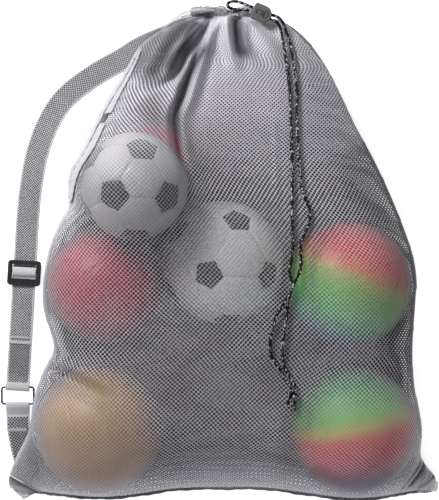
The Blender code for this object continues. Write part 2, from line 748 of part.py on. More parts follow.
def main():
    for obj in list(bpy.data.objects):
        bpy.data.objects.remove(obj)
    net = material("grey net", (0.62, 0.62, 0.66), 0.75)
    tape = material("grey tape", (0.66, 0.66, 0.69), 0.8)
    webbing = material("grey webbing", (0.42, 0.42, 0.44), 0.8)
    thread = material("grey thread", (0.55, 0.55, 0.58), 0.8)
    black = material("black plastic", (0.02, 0.02, 0.025), 0.35)
    dark = material("dark grey plastic", (0.07, 0.07, 0.07), 0.6)
    metal = material("blackened metal", (0.05, 0.05, 0.06), 0.35, 0.9)
    rubber = material("black rubber", (0.03, 0.03, 0.03), 0.7)
    skins = {
        "ball_soccer_low": material("white ball low", (0.85, 0.85, 0.86), 0.45),
        "ball_soccer_top": material("white ball top", (0.85, 0.85, 0.86), 0.45),
        "ball_red": material("red ball", (0.70, 0.12, 0.16), 0.5),
        "ball_pink": material("pink ball", (0.85, 0.10, 0.22), 0.5),
        "ball_yellow": material("yellow ball", (0.80, 0.52, 0.18), 0.5),
        "ball_rainbow_mid": material("rainbow ball mid", (0.35, 0.65, 0.25), 0.5),
        "ball_rainbow_low": material("rainbow ball low", (0.65, 0.15, 0.25), 0.5),
    }
    valves = {
        "ball_soccer_low": (0.5, 0.3, -0.8),
        "ball_soccer_top": (0.8, 0.2, -0.55),
        "ball_red": (0.2, 0.75, -0.6),
        "ball_pink": (0.5, 0.2, -0.85),
        "ball_yellow": (0.8, 0.3, -0.5),
        "ball_rainbow_mid": (-0.6, 0.5, -0.6),
        "ball_rainbow_low": (-0.8, -0.1, -0.55),
    }

    panel("mesh_front_panel", 1, net)
    panel("mesh_back_panel", -1, net)
    binding("side_seam_left", SEAM_LEFT, 1, tape)
    binding("side_seam_right", SEAM_RIGHT, -1, tape)
    binding("bottom_seam", SEAM_BOTTOM, 1, tape)
    hem_channel(net)
    for name, (centre, radius) in ball_list().items():
        ball(name, centre, radius, valves[name], skins[name], rubber)

    strap(webbing)
    ring(metal)
    corner_tab(webbing, thread)
    slider(black, webbing, thread)
    anchor = Matrix.Rotation(math.radians(18), 4, "Z")
    box("strap_anchor_patch", (0.030, 0.016, 0.0012), Vector((-0.056, 0.3900, LAYER_2)), anchor, thread)

    tube("drawcord_in_hem", hem_path(), CORD / 2, black)
    cord_lock(dark, black)
    tube("drawcord_strand_right", smooth_line(STRAND_RIGHT, CORD_STEP), CORD / 2, black)
    tube("drawcord_strand_left", smooth_line(STRAND_LEFT, CORD_STEP), CORD / 2, black)
    tube("drawcord_tail_long", smooth_line(TAIL_LONG, TAIL_STEP), CORD / 2, black)
    tube("drawcord_tail_short", smooth_line(TAIL_SHORT, TAIL_STEP), CORD / 2, black)
    knot(black)


main()
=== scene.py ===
"""The mesh ball bag's looks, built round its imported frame. Metres, +Z up, the bag lying on the floor.

The two net panels are knitted in mesh: every hole is an opening in the surface. The strap and the
tab are knitted in the same way, the cords are braided tubes, and the balls are skinned in panels.
"""

import math

import bpy
import numpy as np
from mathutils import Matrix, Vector


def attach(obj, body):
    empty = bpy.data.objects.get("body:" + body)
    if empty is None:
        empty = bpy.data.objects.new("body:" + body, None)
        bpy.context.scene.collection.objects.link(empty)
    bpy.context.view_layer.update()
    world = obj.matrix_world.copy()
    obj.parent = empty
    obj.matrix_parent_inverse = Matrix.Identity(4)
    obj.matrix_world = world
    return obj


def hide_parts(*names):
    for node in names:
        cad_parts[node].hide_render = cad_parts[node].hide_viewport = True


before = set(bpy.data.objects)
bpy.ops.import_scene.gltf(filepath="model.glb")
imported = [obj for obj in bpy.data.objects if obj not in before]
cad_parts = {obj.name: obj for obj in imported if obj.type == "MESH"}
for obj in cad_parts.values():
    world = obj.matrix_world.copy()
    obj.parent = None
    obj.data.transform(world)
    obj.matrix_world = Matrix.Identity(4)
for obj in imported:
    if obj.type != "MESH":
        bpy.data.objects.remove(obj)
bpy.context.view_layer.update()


def metres(points):
    """Points given in millimetres, in metres."""
    return [tuple(value / 1000 for value in point) for point in points]


# ---- the seams between the panels, as in the CAD source: (x, y, z) in mm
SEAM_LEFT = metres([
    (-46, 408.5, 24), (-97.5, 387.2, 50), (-136.5, 355, 70), (-160.1, 313.1, 85),
    (-198.1, 245, 110), (-230.2, 170.8, 140), (-251.2, 129.9, 155), (-253.5, 79.8, 145),
    (-270, 51.5, 125), (-289.6, 4.2, 110), (-299.3, -51.8, 105), (-298.9, -97.7, 100),
    (-282.9, -161.3, 85), (-301.3, -203.7, 90), (-315.9, -250.7, 100), (-324.9, -302.5, 90),
    (-343.9, -339.9, 50), (-358.6, -370.2, 22), (-366, -395.8, 10), (-359.8, -409, 8),
])
SEAM_BOTTOM = metres([
    (-359.8, -409, 8), (-340.2, -414, 14), (-306.8, -412, 40), (-251.9, -413, 90),
    (-200, -414.5, 105), (-146.2, -412, 90), (-68.5, -405, 50), (17.6, -404, 45), (77.8, -404, 50),
    (137, -409, 80), (212.6, -416, 105), (269.6, -416, 90), (315.7, -413, 45), (347.1, -412, 20),
    (372, -411, 8),
])
SEAM_RIGHT = metres([
    (58, 408.5, 24), (103.7, 400, 36), (141.1, 373.4, 52), (171.8, 334.4, 62), (199, 285.2, 70),
    (229.6, 219.8, 75), (265.2, 152.9, 80), (298.6, 77.5, 90), (325, 4.2, 100), (333, -43.3, 108),
    (331.5, -80.6, 105), (327.6, -166.2, 90), (331, -225.8, 90), (338.5, -267.7, 100),
    (343, -301.7, 100), (345.5, -348.6, 50), (359.7, -372.4, 18), (373.8, -390.4, 10),
    (372, -411, 8),
])

# ---- the strap's and the cords' routes, as in the CAD source
STRAP_CURVE = metres([
    (-24, 400), (-51.9, 392.9), (-104.2, 372), (-139.1, 356.3), (-166.9, 338.9), (-220.9, 307.6),
    (-269.7, 269.2), (-298.5, 225.7), (-318.5, 171.6), (-329, 115.9),
])
STRAP_FOOT = Vector((-0.352, -0.2345, 0.0))
STRAP_HEAD = Vector((-0.3335, 0.0793, 0.0))
STRAP_UP = (STRAP_HEAD - STRAP_FOOT).normalized()
STRAP_SIDE = Vector((STRAP_UP.y, -STRAP_UP.x, 0))
TAB_END = Vector((-0.336, -0.372, 0.0))
SLIDER_AT = 0.199
RING_CENTRE = Vector((-0.3515, -0.249, 0.0052))
RING_HALF = (0.0278, 0.0145)
RING_WIRE = 0.0034

STRAND_RIGHT = metres([
    (31.1, 419, 38.5), (24.5, 419.8, 40.5), (16.5, 422.5, 44), (13, 426.2, 51), (17, 430, 58.5),
    (26, 431, 63), (36, 428.5, 65), (46.2, 424.5, 65.2), (58.3, 419.7, 65), (74.1, 413.5, 65),
    (89.9, 407.3, 65), (100.1, 403.2, 65), (109, 393, 65.5), (115, 375, 69), (121.8, 351.5, 78),
    (124.9, 328.4, 88), (129.6, 298.4, 102), (130.8, 266.8, 116), (130, 214.7, 140),
    (132.5, 154.7, 166.5), (136.8, 104, 186.5), (144.9, 82.3, 192), (149.7, 67.2, 196.5),
    (147.9, 50.6, 201.5), (139.3, 28.9, 209.5), (133.5, 12.4, 213.5), (134.5, -15.7, 218),
    (131.5, -32.2, 221.5), (124.9, -45.4, 227), (117.4, -61.9, 227.2), (107.5, -81.6, 225.5),
    (95.5, -99.8, 221.5), (87.8, -124.6, 219), (82.9, -152.7, 217.2), (87.9, -177.5, 215.5),
    (101, -195.8, 214.2), (111, -212, 213.5), (116, -222.8, 214.2),
])
STRAND_LEFT = metres([
    (-1, 419, 40.8), (6, 418, 42.5), (14, 415, 47.5), (27, 414, 58), (43.1, 416.7, 64.5),
    (55.3, 411.9, 65), (71.1, 405.7, 65), (86.9, 399.5, 65), (97.1, 395.4, 65.5), (103, 386, 68),
    (107.5, 368, 74), (110.5, 345.9, 83.5), (115.1, 310.4, 100.5), (118.8, 266.6, 119.8),
    (119.8, 214.5, 143.2), (120.6, 154.6, 170.5), (120, 103.9, 191.2), (119.5, 53.8, 206.5),
    (120.1, 12.4, 215.2), (118.3, -12.4, 218.8), (115, -28.9, 220.5), (117.4, -42.1, 221),
    (120.7, -50.3, 221), (117.4, -64, 221), (112, -81.6, 220.8), (110.9, -98.2, 220.4),
    (107, -127.9, 219), (103, -161, 217.1), (106, -185.8, 215.5), (115, -205, 214.3),
    (121.5, -215, 214), (123.5, -222.5, 214.2),
])
TAIL_LONG = metres([
    (121.8, -245.2, 213.5), (123.2, -252, 212), (124, -262, 212),
])
TAIL_SHORT = metres([
    (114.5, -244, 213.8), (112.5, -249, 212.5), (111.5, -256, 212.2),
])
KNOT_CENTRE = Vector((0.1195, -0.2338, 0.2148))
KNOT_SIZE = (0.019, 0.0205, 0.013)
CORD = 0.0056
BRAID_LAY = 0.0016        # length of cord in which a strand of the braid turns by a radian

LOCK_CENTRE = Vector((0.0726, 0.4096, 0.066))
LOCK_AXIS = Vector((0.93, -0.3666, 0.0)).normalized()
LOCK_THICK = 0.012

HEM_CENTRE = Vector((0.006, 0.419, 0.024))
HEM_HALF = (0.05, 0.0165)
HEM_RADIUS = 0.0062
HEM_GAP_X = (0.011, 0.032)

# centre and radius of each ball
BALLS = {
    "ball_soccer_low": ((0.0045, -0.0162, 0.1064), 0.104),
    "ball_red": ((-0.196, -0.0553, 0.1004), 0.098),
    "ball_yellow": ((-0.2045, -0.2985, 0.1104), 0.108),
    "ball_rainbow_mid": ((0.2175, -0.0536, 0.1094), 0.107),
    "ball_rainbow_low": ((0.2265, -0.3, 0.1094), 0.107),
    "ball_pink": ((-0.1144, 0.1584, 0.0714), 0.069),
    "ball_soccer_top": ((-0.1415, 0.1097, 0.2197), 0.089),
}

# ---- the net
HALF_CELL = 0.00385       # from a hole's middle to the knot beside it
SMALL_CELL = HALF_CELL * 0.8  # the same where the cloth is drawn up or folded
HOLE = 0.7                # a hole's radius, in half cells
HOLE_FLOOR = 0.1          # where the back panel lies flat on the floor
HOLE_SIDE = 0.34          # and where it rises at the sides
NET_CLEAR = 0.004         # from a ball's surface to the net over it
NET_LEAST = 0.0028        # the same where a fold is pressed in
NET_UNDER = 0.015         # from a ball's surface to the net under it
PANEL_APART = 0.0045      # least room between the two panels
PANEL_MARGIN = 0.02       # how far past a ball the back panel still follows it
FLOOR_LIFT = 0.0046       # the back panel's height where the strap or the tab lies under it
NET = 0.0012              # the net's thickness
ROW_CROWDING = 1.2        # above 1, a panel's rows are closer together at the bottom
LEVELS = [(28, 24, 900), (56, 48, 260), (112, 96, 120), (224, 192, 60)]  # rows, columns, rounds
KNOT_RISE = 0.0003        # the yarn's relief: a knot, the middle of a strand and a hole's rim
STRAND_RISE = 0.00012
RIM_RISE = -0.00022
HOLE_STRETCH = (1.0, 0.86)  # a hole's corners at its four ends, and those between them
LEAST_AREA = 0.01         # smaller faces are left out, in half cells squared
LEAST_SIDE = 0.02         # and those with a shorter side than this, in half cells
TABLE_STEP = 0.0005       # a cloth's columns are looked up at this step across it
LINE_STEP = 0.004         # between the points of a line that guides a panel or a strap
SPAN_STEPS = 16           # points between two given points of a smooth line, before it is evened out

WEB_WIDTH = 0.04
WEB_THICK = 0.0008
WEB_CELL = 0.0023
TAB_CELL = 0.0027
LAYER_1 = 0.0009          # heights of the webbing's layers over the floor
LAYER_2 = 0.0024
LAYER_3 = 0.0039
LAYER_BAR = 0.0095        # and of the layer over the ring's bars

# middle lines of the folds in the front panel: (x, y), then half width and depth, all in mm; a depth
# below 0 is a ridge
FOLDS = [
    ([(-8, 412), (-33, 373), (-56, 339), (-66, 314), (-80, 292), (-111, 271)], 6.6, 24),
    ([(-20, 404), (-45, 372), (-70, 340), (-82, 315), (-100, 297)], 7.5, -14),
    ([(-18, 378), (-34, 346), (-44, 319), (-53, 291), (-61, 261), (-71, 241), (-76, 222),
      (-72, 192), (-66, 164), (-55, 140), (-43, 116), (-34, 93)], 6.6, 22),
    ([(-8, 400), (-22, 360), (-32, 325), (-41, 290), (-49, 258), (-56, 228),
      (-56, 195)], 8.5, -10),
    ([(27.5, 412), (27.5, 370), (34, 341), (53, 322)], 7, 28),
    ([(13, 408), (15, 375), (19, 340), (26, 300)], 9, -10),
    ([(45, 409), (62, 378), (86, 344), (108, 305)], 11, -8),
    ([(66, 402), (95, 372), (128, 330), (150, 290)], 8, 6),
    ([(34, -128), (35, -230), (34, -330), (34, -398)], 3, -1.6),
    ([(92, 240), (94, 120), (98, 20)], 4, -2),
    ([(-337, -408), (-318, -385), (-300, -362)], 6, 4),
    ([(-290, -190), (-262, -199), (-225, -214), (-190, -233), (-160, -253)], 6.2, 12),
    ([(344, -350), (332, -372), (318, -392)], 5, 6),
    ([(357, -372), (350, -392), (342, -408)], 5, -5),
]
GATHER = (0.01, 0.432)    # the drawn-up mouth, which the small gathers spread from
# their height, how far they reach, how many to a turn, and how they sway: how far, how often, from where
GATHERS = [(0.003, 0.075, 17, 0.8, 5, 0.0), (0.0012, 0.12, 33, 1.3, 7, 0.6)]

# middle lines of what lies in shade: (x, y) and half width in mm, then strength, at most 1. They are
# the hollows at the mouth, the ears and the folds, and broad ones over the balls and the sides
HOLLOWS = [
    ([(-45, 402), (-80, 368), (-100, 330), (-118, 296), (-128, 262)], 28, 0.9),
    ([(-90, 385), (-118, 352), (-136, 318), (-152, 280)], 24, 0.72),
    ([(-30, 404), (-49, 382), (-61, 354), (-77, 330), (-88, 308), (-108, 284)], 17, 0.97),
    ([(-72, 388), (-45, 400), (-25, 405.5), (0, 409)], 6.5, 0.92),
    ([(356, -357), (344, -373), (335, -386), (324, -400), (317, -410)], 6, 0.96),
    ([(376, -380), (360, -398.5), (350, -406), (338, -412)], 3.4, 0.92),
    ([(-10, 366), (-37, 326), (-55, 290), (-69, 246), (-71, 204), (-65, 153),
      (-48, 104)], 8.5, 0.9),
    ([(29, 420), (34, 378), (40, 348), (58, 318)], 11.5, 0.84),
    ([(-450, -190), (0, -190), (560, -190)], 200, 0.3),
    ([(-288, -196), (-262, -202), (-225, -217), (-190, -236), (-165, -252)], 6, 0.6),
    ([(230, 230), (290, 90), (318, -20), (320, -200), (322, -320)], 70, 0.74),
    ([(-260, 105), (-140, 108), (0, 112)], 62, 0.56),
    ([(-130, -16), (0, -16), (150, -16)], 75, 0.48),
    ([(140, -350), (232, -392), (330, -345)], 26, 0.55),
    ([(-165, 300), (-205, 215), (-240, 135)], 55, 0.36),
    ([(80, -20), (217.5, -40), (350, -70)], 80, 0.48),
    ([(80, -290), (226.5, -300), (350, -310)], 90, 0.46),
    ([(-330, -50), (-196, -55), (-60, -60)], 80, 0.44),
    ([(-350, -300), (-204.5, -298.5), (-60, -290)], 85, 0.42),
    ([(-135, 260), (-90, 200), (-60, 130)], 35, 0.5),
    ([(110, 380), (190, 260), (240, 140), (250, 60), (260, -40)], 60, 0.34),
]


# ---- shapes
def spread(along, wanted, values):
    """The values, known at distances along a line, at the wanted distances."""
    return np.stack([np.interp(wanted, along, values[:, i]) for i in range(3)], axis=-1)


def smooth_line(points, step):
    """Points about step apart on a Catmull-Rom curve through the given points."""
    pts = [Vector(p) for p in points]
    pts = [2 * pts[0] - pts[1]] + pts + [2 * pts[-1] - pts[-2]]
    fine = []
    for a, b, c, d in zip(pts, pts[1:], pts[2:], pts[3:]):
        for k in range(SPAN_STEPS):
            t = k / SPAN_STEPS
            fine.append(
                0.5 * (2 * b + (c - a) * t + (2 * a - 5 * b + 4 * c - d) * t * t
                       + (3 * b - a - 3 * c + d) * t ** 3)
            )
    fine.append(pts[-2])
    along = np.concatenate([[0], np.cumsum([(q - p).length for p, q in zip(fine, fine[1:])])])
    wanted = np.linspace(0, along[-1], max(2, round(along[-1] / step) + 1))
    return spread(along, wanted, np.array(fine))


def distances(path):
    """How far along a path each of its points is."""
    return np.concatenate([[0], np.cumsum(np.linalg.norm(np.diff(path, axis=0), axis=1))])


def length_of(points):
    return float(np.linalg.norm(np.diff(points, axis=0), axis=1).sum())


def place(name, verts, faces, mats, smooth=True, index=None):
    """A mesh piece. index gives each face's material."""
    mesh = bpy.data.meshes.new(name)
    mesh.from_pydata(np.asarray(verts, float).tolist(), [], faces)
    for mat in mats if isinstance(mats, (list, tuple)) else [mats]:
        mesh.materials.append(mat)
    if index is not None:
        mesh.polygons.foreach_set("material_index", np.asarray(index, np.int32))
    if smooth:
        mesh.shade_smooth()
    mesh.update()
    obj = bpy.data.objects.new(name, mesh)
    bpy.context.scene.collection.objects.link(obj)
    return obj


def belong(obj, body, node=None):
    """Ride a piece on a body, and hide the CAD node it replaces if it replaces one."""
    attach(obj, body)
    if node:
        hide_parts(node)


def grid_faces(rows, columns, wrap_rows=False, wrap_columns=False):
    faces = []
    for j in range(rows if wrap_rows else rows - 1):
        for i in range(columns if wrap_columns else columns - 1):
            a, b = j * columns, (j + 1) % rows * columns
            k = (i + 1) % columns
            faces.append((a + i, a + k, b + k, b + i))
    return faces


def unit(v):
    return v / np.maximum(np.linalg.norm(v, axis=-1, keepdims=True), 1e-12)


def frames_along(path, closed):
    """Unit vectors aside and out at each point of a path, turning as little as they can."""
    path = np.asarray(path, float)
    if closed:
        ahead = unit(np.roll(path, -1, 0) - np.roll(path, 1, 0))
    else:
        ahead = unit(np.gradient(path, axis=0))
    side = np.zeros_like(ahead)
    last = np.cross(ahead[0], (0.0, 0.0, 1.0))
    if np.linalg.norm(last) < 1e-3:
        last = np.array((1.0, 0.0, 0.0))
    for i, t in enumerate(ahead):
        last = last - t * last.dot(t)
        last = last / np.linalg.norm(last)
        side[i] = last
    return side, np.cross(ahead, side)


def section(middle, side, out, aside, up):
    """Rings of points round a line: how far each lies from it along side, and along out."""
    return middle[:, None] + aside[..., None] * side[:, None] + up[..., None] * out[:, None]


def tube(name, rings, mat, closed=False):
    """A tube through rings of points, with flat ends unless it closes on itself."""
    count, sides = rings.shape[:2]
    faces = grid_faces(count, sides, closed, True)
    if not closed:
        faces += [tuple(range(sides))[::-1], tuple(range((count - 1) * sides, count * sides))]
    return place(name, rings.reshape(-1, 3), faces, mat)


def rope(name, path, radius, mat, sides=16, relief=0.1, closed=False):
    """A round cord along path, with the low relief of its braid, and domed ends."""
    side, out = frames_along(path, closed)
    s = distances(path)
    a = np.arange(sides) * 2 * math.pi / sides
    lay = s[:, None] / BRAID_LAY
    weave = np.maximum(np.sin(4 * a[None] + lay), np.sin(4 * a[None] - lay + 1.1))
    r = radius * (1 - relief + relief * weave)
    if not closed:
        ends = np.minimum(s, s[-1] - s) / radius
        r = r * np.sqrt(np.clip(1 - (1 - np.clip(ends, 0, 1)) ** 2, 0.03, 1))[:, None]
    return tube(name, section(path, side, out, r * np.cos(a), r * np.sin(a)), mat, closed)


def sample(field, rows, columns):
    """Bilinear values of a (rows, columns, ...) field at fractional indices."""
    r0 = np.clip(np.floor(rows).astype(int), 0, field.shape[0] - 2)
    c0 = np.clip(np.floor(columns).astype(int), 0, field.shape[1] - 2)
    u = rows - r0
    v = columns - c0
    if field.ndim == 3:
        u, v = u[..., None], v[..., None]
    near = field[r0, c0] * (1 - v) + field[r0, c0 + 1] * v
    far = field[r0 + 1, c0] * (1 - v) + field[r0 + 1, c0 + 1] * v
    return near * (1 - u) + far * u


class Cloth:
    """A grid of points, its normals, and cloth coordinates: p across from its middle, and q along."""

    def __init__(self, grid, crowding=None):
        self.grid = grid
        rows, columns = grid.shape[:2]
        self.normal = unit(np.cross(np.gradient(grid, axis=1), np.gradient(grid, axis=0)))
        step = np.linalg.norm(np.diff(grid, axis=1), axis=2)
        p = np.concatenate([np.zeros((rows, 1)), np.cumsum(step, axis=1)], axis=1)
        if crowding is not None:
            p = p * crowding[:, None]
        self.p = p - p[:, -1:] / 2
        rise = np.linalg.norm(np.diff(grid, axis=0), axis=2).mean(axis=1)
        self.q = np.concatenate([[0], np.cumsum(rise)])
        self.reach = float(self.p[:, -1].max())
        steps = np.arange(-self.reach, self.reach + TABLE_STEP, TABLE_STEP)
        self.table = np.stack([np.interp(steps, p, np.arange(columns)) for p in self.p])

    def at(self, p, q, lift=0.0):
        """The points at p and q, lifted off the cloth along its normal."""
        row = np.interp(q, self.q, np.arange(len(self.q)))
        step = np.clip((p + self.reach) / TABLE_STEP, 0, self.table.shape[1] - 1.001)
        column = sample(self.table, row, step)
        normal = unit(sample(self.normal, row, column))
        return sample(self.grid, row, column) + normal * np.asarray(lift)[..., None]


def knit(name, cloth, cell, mat, hole, relief=1.0, wander=0.035, thick=0.0):
    """The cloth as a knitted net: diamond cells, each with an eight-sided hole in it.

    cell is half a cell's width. hole is a hole's radius in it, or a function of its place.
    """
    count_p = int(cloth.reach / cell) + 2
    count_q = int(cloth.q[-1] / cell) + 2
    m = np.arange(-count_p, count_p + 1)
    n = np.arange(-1, count_q + 1)
    mm, nn = np.meshgrid(m, n)
    rng = np.random.default_rng(7)
    drift = rng.normal(0, wander * 0.5, (2,) + mm.shape)

    knots = np.full(mm.shape, -1)
    is_knot = (mm + nn) % 2 == 0
    knots[is_knot] = np.arange(is_knot.sum())
    pos = [((mm + drift[0])[is_knot] * cell, (nn + drift[1])[is_knot] * cell,
            np.full(is_knot.sum(), KNOT_RISE * relief))]
    total = int(is_knot.sum())

    # strand middles, halfway between knots at (m, n) and (m + 1, n + 1) or (m + 1, n - 1)
    mids = {}
    for key, dn in (("up", 1), ("down", -1)):
        j = np.arange(len(n))
        ok = is_knot.copy()
        ok[:, -1] = False
        ok[(j + dn < 0) | (j + dn >= len(n))] = False
        rows, cols = np.nonzero(ok)
        ids = np.full(mm.shape, -1)
        ids[rows, cols] = total + np.arange(len(rows))
        total += len(rows)
        a = (mm + drift[0])[rows, cols] + (mm + drift[0])[rows + dn, cols + 1]
        b = (nn + drift[1])[rows, cols] + (nn + drift[1])[rows + dn, cols + 1]
        pos.append((a / 2 * cell, b / 2 * cell, np.full(len(rows), STRAND_RISE * relief)))
        mids[key] = ids

    rows, cols = np.nonzero(~is_knot)
    inside = (rows > 0) & (rows < len(n) - 1) & (cols > 0) & (cols < len(m) - 1)
    rows, cols = rows[inside], cols[inside]
    centre_p = mm[rows, cols] * cell
    centre_q = nn[rows, cols] * cell
    size = hole(centre_p, centre_q) if callable(hole) else np.full(len(rows), hole)
    size = size * (1 + rng.normal(0, 0.025, len(rows)))
    first = total
    for k in range(8):
        a = math.pi * k / 4
        stretch = HOLE_STRETCH[k % 2]
        pos.append((centre_p + size * stretch * cell * math.cos(a),
                    centre_q + size * stretch * cell * math.sin(a),
                    np.full(len(rows), RIM_RISE * relief)))
        total += len(rows)

    p, q, lift = (np.concatenate(x) for x in zip(*pos))
    q = np.clip(q, 0, cloth.q[-1])
    verts = cloth.at(p, q, lift)

    loop = [first + k * len(rows) + np.arange(len(rows)) for k in range(8)]
    east, north = knots[rows, cols + 1], knots[rows + 1, cols]
    west, south = knots[rows, cols - 1], knots[rows - 1, cols]
    ring = [
        east, mids["down"][rows + 1, cols], north, mids["up"][rows, cols - 1],
        west, mids["down"][rows, cols - 1], south, mids["up"][rows - 1, cols],
    ]
    quads = np.concatenate([
        np.stack([ring[k], ring[(k + 1) % 8], loop[(k + 1) % 8], loop[k]], axis=-1) for k in range(8)])
    quads = quads[(quads >= 0).all(axis=1)]
    corners = verts[quads]
    area = np.linalg.norm(
        np.cross(corners[:, 2] - corners[:, 0], corners[:, 3] - corners[:, 1]), axis=1) / 2
    sides = np.linalg.norm(corners - np.roll(corners, 1, axis=1), axis=2)
    good = (area > LEAST_AREA * cell * cell) & (sides.min(axis=1) > LEAST_SIDE * cell)
    used, quads = np.unique(quads[good], return_inverse=True)
    quads = quads.reshape(-1, 4)
    obj = place(name, verts[used], quads.tolist(), mat)
    if thick:
        thicken(obj, thick)
    return obj


def thicken(obj, thick):
    shell = obj.modifiers.new("cloth", "SOLIDIFY")
    shell.thickness = thick
    shell.offset = 0.0


# ---- the panels
def seam_points(points, fractions):
    line = smooth_line(points, LINE_STEP)
    return spread(np.linspace(0, 1, len(line)), fractions, line)


def coons(sign, rows, columns):
    """A panel's grid spanned between its four edges, bulged a little up or down to start from."""
    across = (1 - np.cos(np.linspace(0, math.pi, columns + 1))) / 2
    along = np.linspace(0, 1, rows + 1) ** ROW_CROWDING
    left = seam_points(SEAM_LEFT[::-1], along)[:, None]
    right = seam_points(SEAM_RIGHT[::-1], along)[:, None]
    bottom = seam_points(SEAM_BOTTOM, across)[None]
    x = SEAM_LEFT[0][0] + (SEAM_RIGHT[0][0] - SEAM_LEFT[0][0]) * across
    z = HEM_CENTRE.z + sign * HEM_HALF[1] * np.sin(math.pi * across)
    top = np.stack([x, np.full_like(x, SEAM_LEFT[0][1]), z], axis=-1)[None]
    g = across[None, :, None]
    f = along[:, None, None]
    corners = (1 - f) * ((1 - g) * bottom[:, :1] + g * bottom[:, -1:])
    corners = corners + f * ((1 - g) * top[:, :1] + g * top[:, -1:])
    grid = (1 - g) * left + g * right + (1 - f) * bottom + f * top - corners
    grid[1:-1, 1:-1, 2] += sign * 0.02
    return grid


def ball_heights(grid, sign, reach_out, margin):
    """Height of the balls' upper (or lower) side at each grid point, and past it where there is none."""
    height = np.full(grid.shape[:2], -1.0)
    for (x, y, z), radius in BALLS.values():
        reach = radius + reach_out
        aside = np.hypot(grid[..., 0] - x, grid[..., 1] - y)
        cap = np.sqrt(np.maximum(reach ** 2 - aside ** 2, 0))
        height = np.maximum(height, np.where(aside < reach + margin, cap + sign * z, -1.0))
    return sign * height


def settled(sign):
    """A panel's grid, drawn tight over or under the balls, from coarse to fine."""
    height = None
    for rows, columns, rounds in LEVELS:
        grid = coons(sign, rows, columns)
        z = grid[..., 2]
        if height is not None:
            jj, ii = np.meshgrid(np.arange(rows + 1) / 2, np.arange(columns + 1) / 2, indexing="ij")
            z[1:-1, 1:-1] = sample(height, jj, ii)[1:-1, 1:-1]
        if sign > 0:
            stop = ball_heights(grid, sign, NET_CLEAR, 0.0)
        else:
            stop = ball_heights(grid, sign, NET_UNDER, PANEL_MARGIN)
            x, y = grid[..., 0], grid[..., 1]
            held_up = (y > 0.235) | ((x < -0.27) & (y < -0.3))
            floor = np.where(held_up, FLOOR_LIFT, NET / 2)
        for _ in range(rounds):
            mean = (z[:-2, 1:-1] + z[2:, 1:-1] + z[1:-1, :-2] + z[1:-1, 2:]) / 4
            if sign > 0:
                z[1:-1, 1:-1] = np.maximum(mean, stop[1:-1, 1:-1])
            else:
                z[1:-1, 1:-1] = np.maximum(np.minimum(mean, stop[1:-1, 1:-1]), floor[1:-1, 1:-1])
        height = z.copy()
    return grid


def line_distance(x, y, points):
    """Distance from each (x, y) to a smooth line, and how far along it, from 0 to 1."""
    line = smooth_line([(a, b, 0.0) for a, b in points], LINE_STEP)[:, :2]
    best = np.full(x.shape, 9.0)
    part = np.zeros(x.shape)
    for k, (ax, ay) in enumerate(line):
        d = np.hypot(x - ax, y - ay)
        nearer = d < best
        best = np.where(nearer, d, best)
        part = np.where(nearer, k / (len(line) - 1), part)
    return best, part


def edge_fade(shape):
    """0 on a panel's seams, rising to 1 a little way in."""
    rows = np.arange(shape[0])
    columns = np.arange(shape[1])
    r = np.minimum(rows, 5 * (shape[0] - 1 - rows)) / 10
    c = np.minimum(columns, shape[1] - 1 - columns) / 12
    return np.clip(r, 0, 1)[:, None] * np.clip(c, 0, 1)[None]


def drape_front(grid):
    """The folds, the gathers round the mouth and the small slack waves of the front panel."""
    x, y, z = grid[..., 0], grid[..., 1], grid[..., 2]
    lift = np.zeros_like(z)
    for points, width, depth in FOLDS:
        d, part = line_distance(x, y, metres(points))
        fade = np.clip(np.minimum(part / 0.12, (1 - part) / 0.35), 0, 1)
        t = d / (width / 1000)
        lift -= depth / 1000 * fade * (np.exp(-t * t) - 0.35 * np.exp(-((t - 2.1) / 1.1) ** 2))
    gx, gy = GATHER
    angle = np.arctan2(x - gx, gy - y)
    away = np.hypot(x - gx, y - gy)
    for height, reach, count, sway, often, start in GATHERS:
        wave = np.sin(count * angle + sway * np.sin(often * angle) + start)
        lift += height * np.exp(-away / reach) * wave
    lift += 0.0009 * np.sin(38 * x + 9 * y) * np.sin(31 * y - 12 * x + 1.0)
    z += lift * edge_fade(z.shape)
    z[:] = np.maximum(z, ball_heights(grid, 1, NET_LEAST, 0.0))


def panels():
    """Both panels, as cloths and as nets. They crowd together towards the drawn-up mouth."""
    back = settled(-1)
    front = settled(1)
    drape_front(front)
    front[..., 2] = np.maximum(front[..., 2], back[..., 2] + PANEL_APART) + NET
    top = np.clip((front[:, front.shape[1] // 2, 1] - 0.2) / 0.2, 0, 1)
    crowd = 1 + 0.42 * top ** 1.5
    cloths = Cloth(front, crowd), Cloth(back, crowd)

    def holes(cloth, on_floor, raised):
        """A hole's size by its place: smaller at the mouth, in the bottom seam and on the floor."""
        def size(p, q):
            up = q / cloth.q[-1]
            drawn = np.clip((up - 0.62) / 0.38, 0, 1)
            sewn = np.clip(1 - up / 0.08, 0, 1)
            rise = np.clip((cloth.at(p, q)[:, 2] - 0.02) / 0.04, 0, 1)
            return (on_floor + (raised - on_floor) * rise) * (1 - 0.46 * drawn - 0.34 * sewn)
        return size

    nets = []
    for name, cloth, sizes, shade in (
        ("net_front", cloths[0], (HOLE, HOLE), hollow_shade),
        ("net_back", cloths[1], (HOLE_FLOOR, HOLE_SIDE), floor_shade),
    ):
        net = knit(name, cloth, HALF_CELL, NET_MAT, holes(cloth, *sizes), relief=1.3)
        set_shade(net, shade)
        nets.append(net)
    return cloths, nets


def set_shade(obj, shade):
    """Store each vertex's shade, 0 to 1, for the net's material."""
    points = np.array([v.co for v in obj.data.vertices])
    layer = obj.data.attributes.new("shade", "FLOAT", "POINT")
    layer.data.foreach_set("value", shade(points).astype(np.float32))


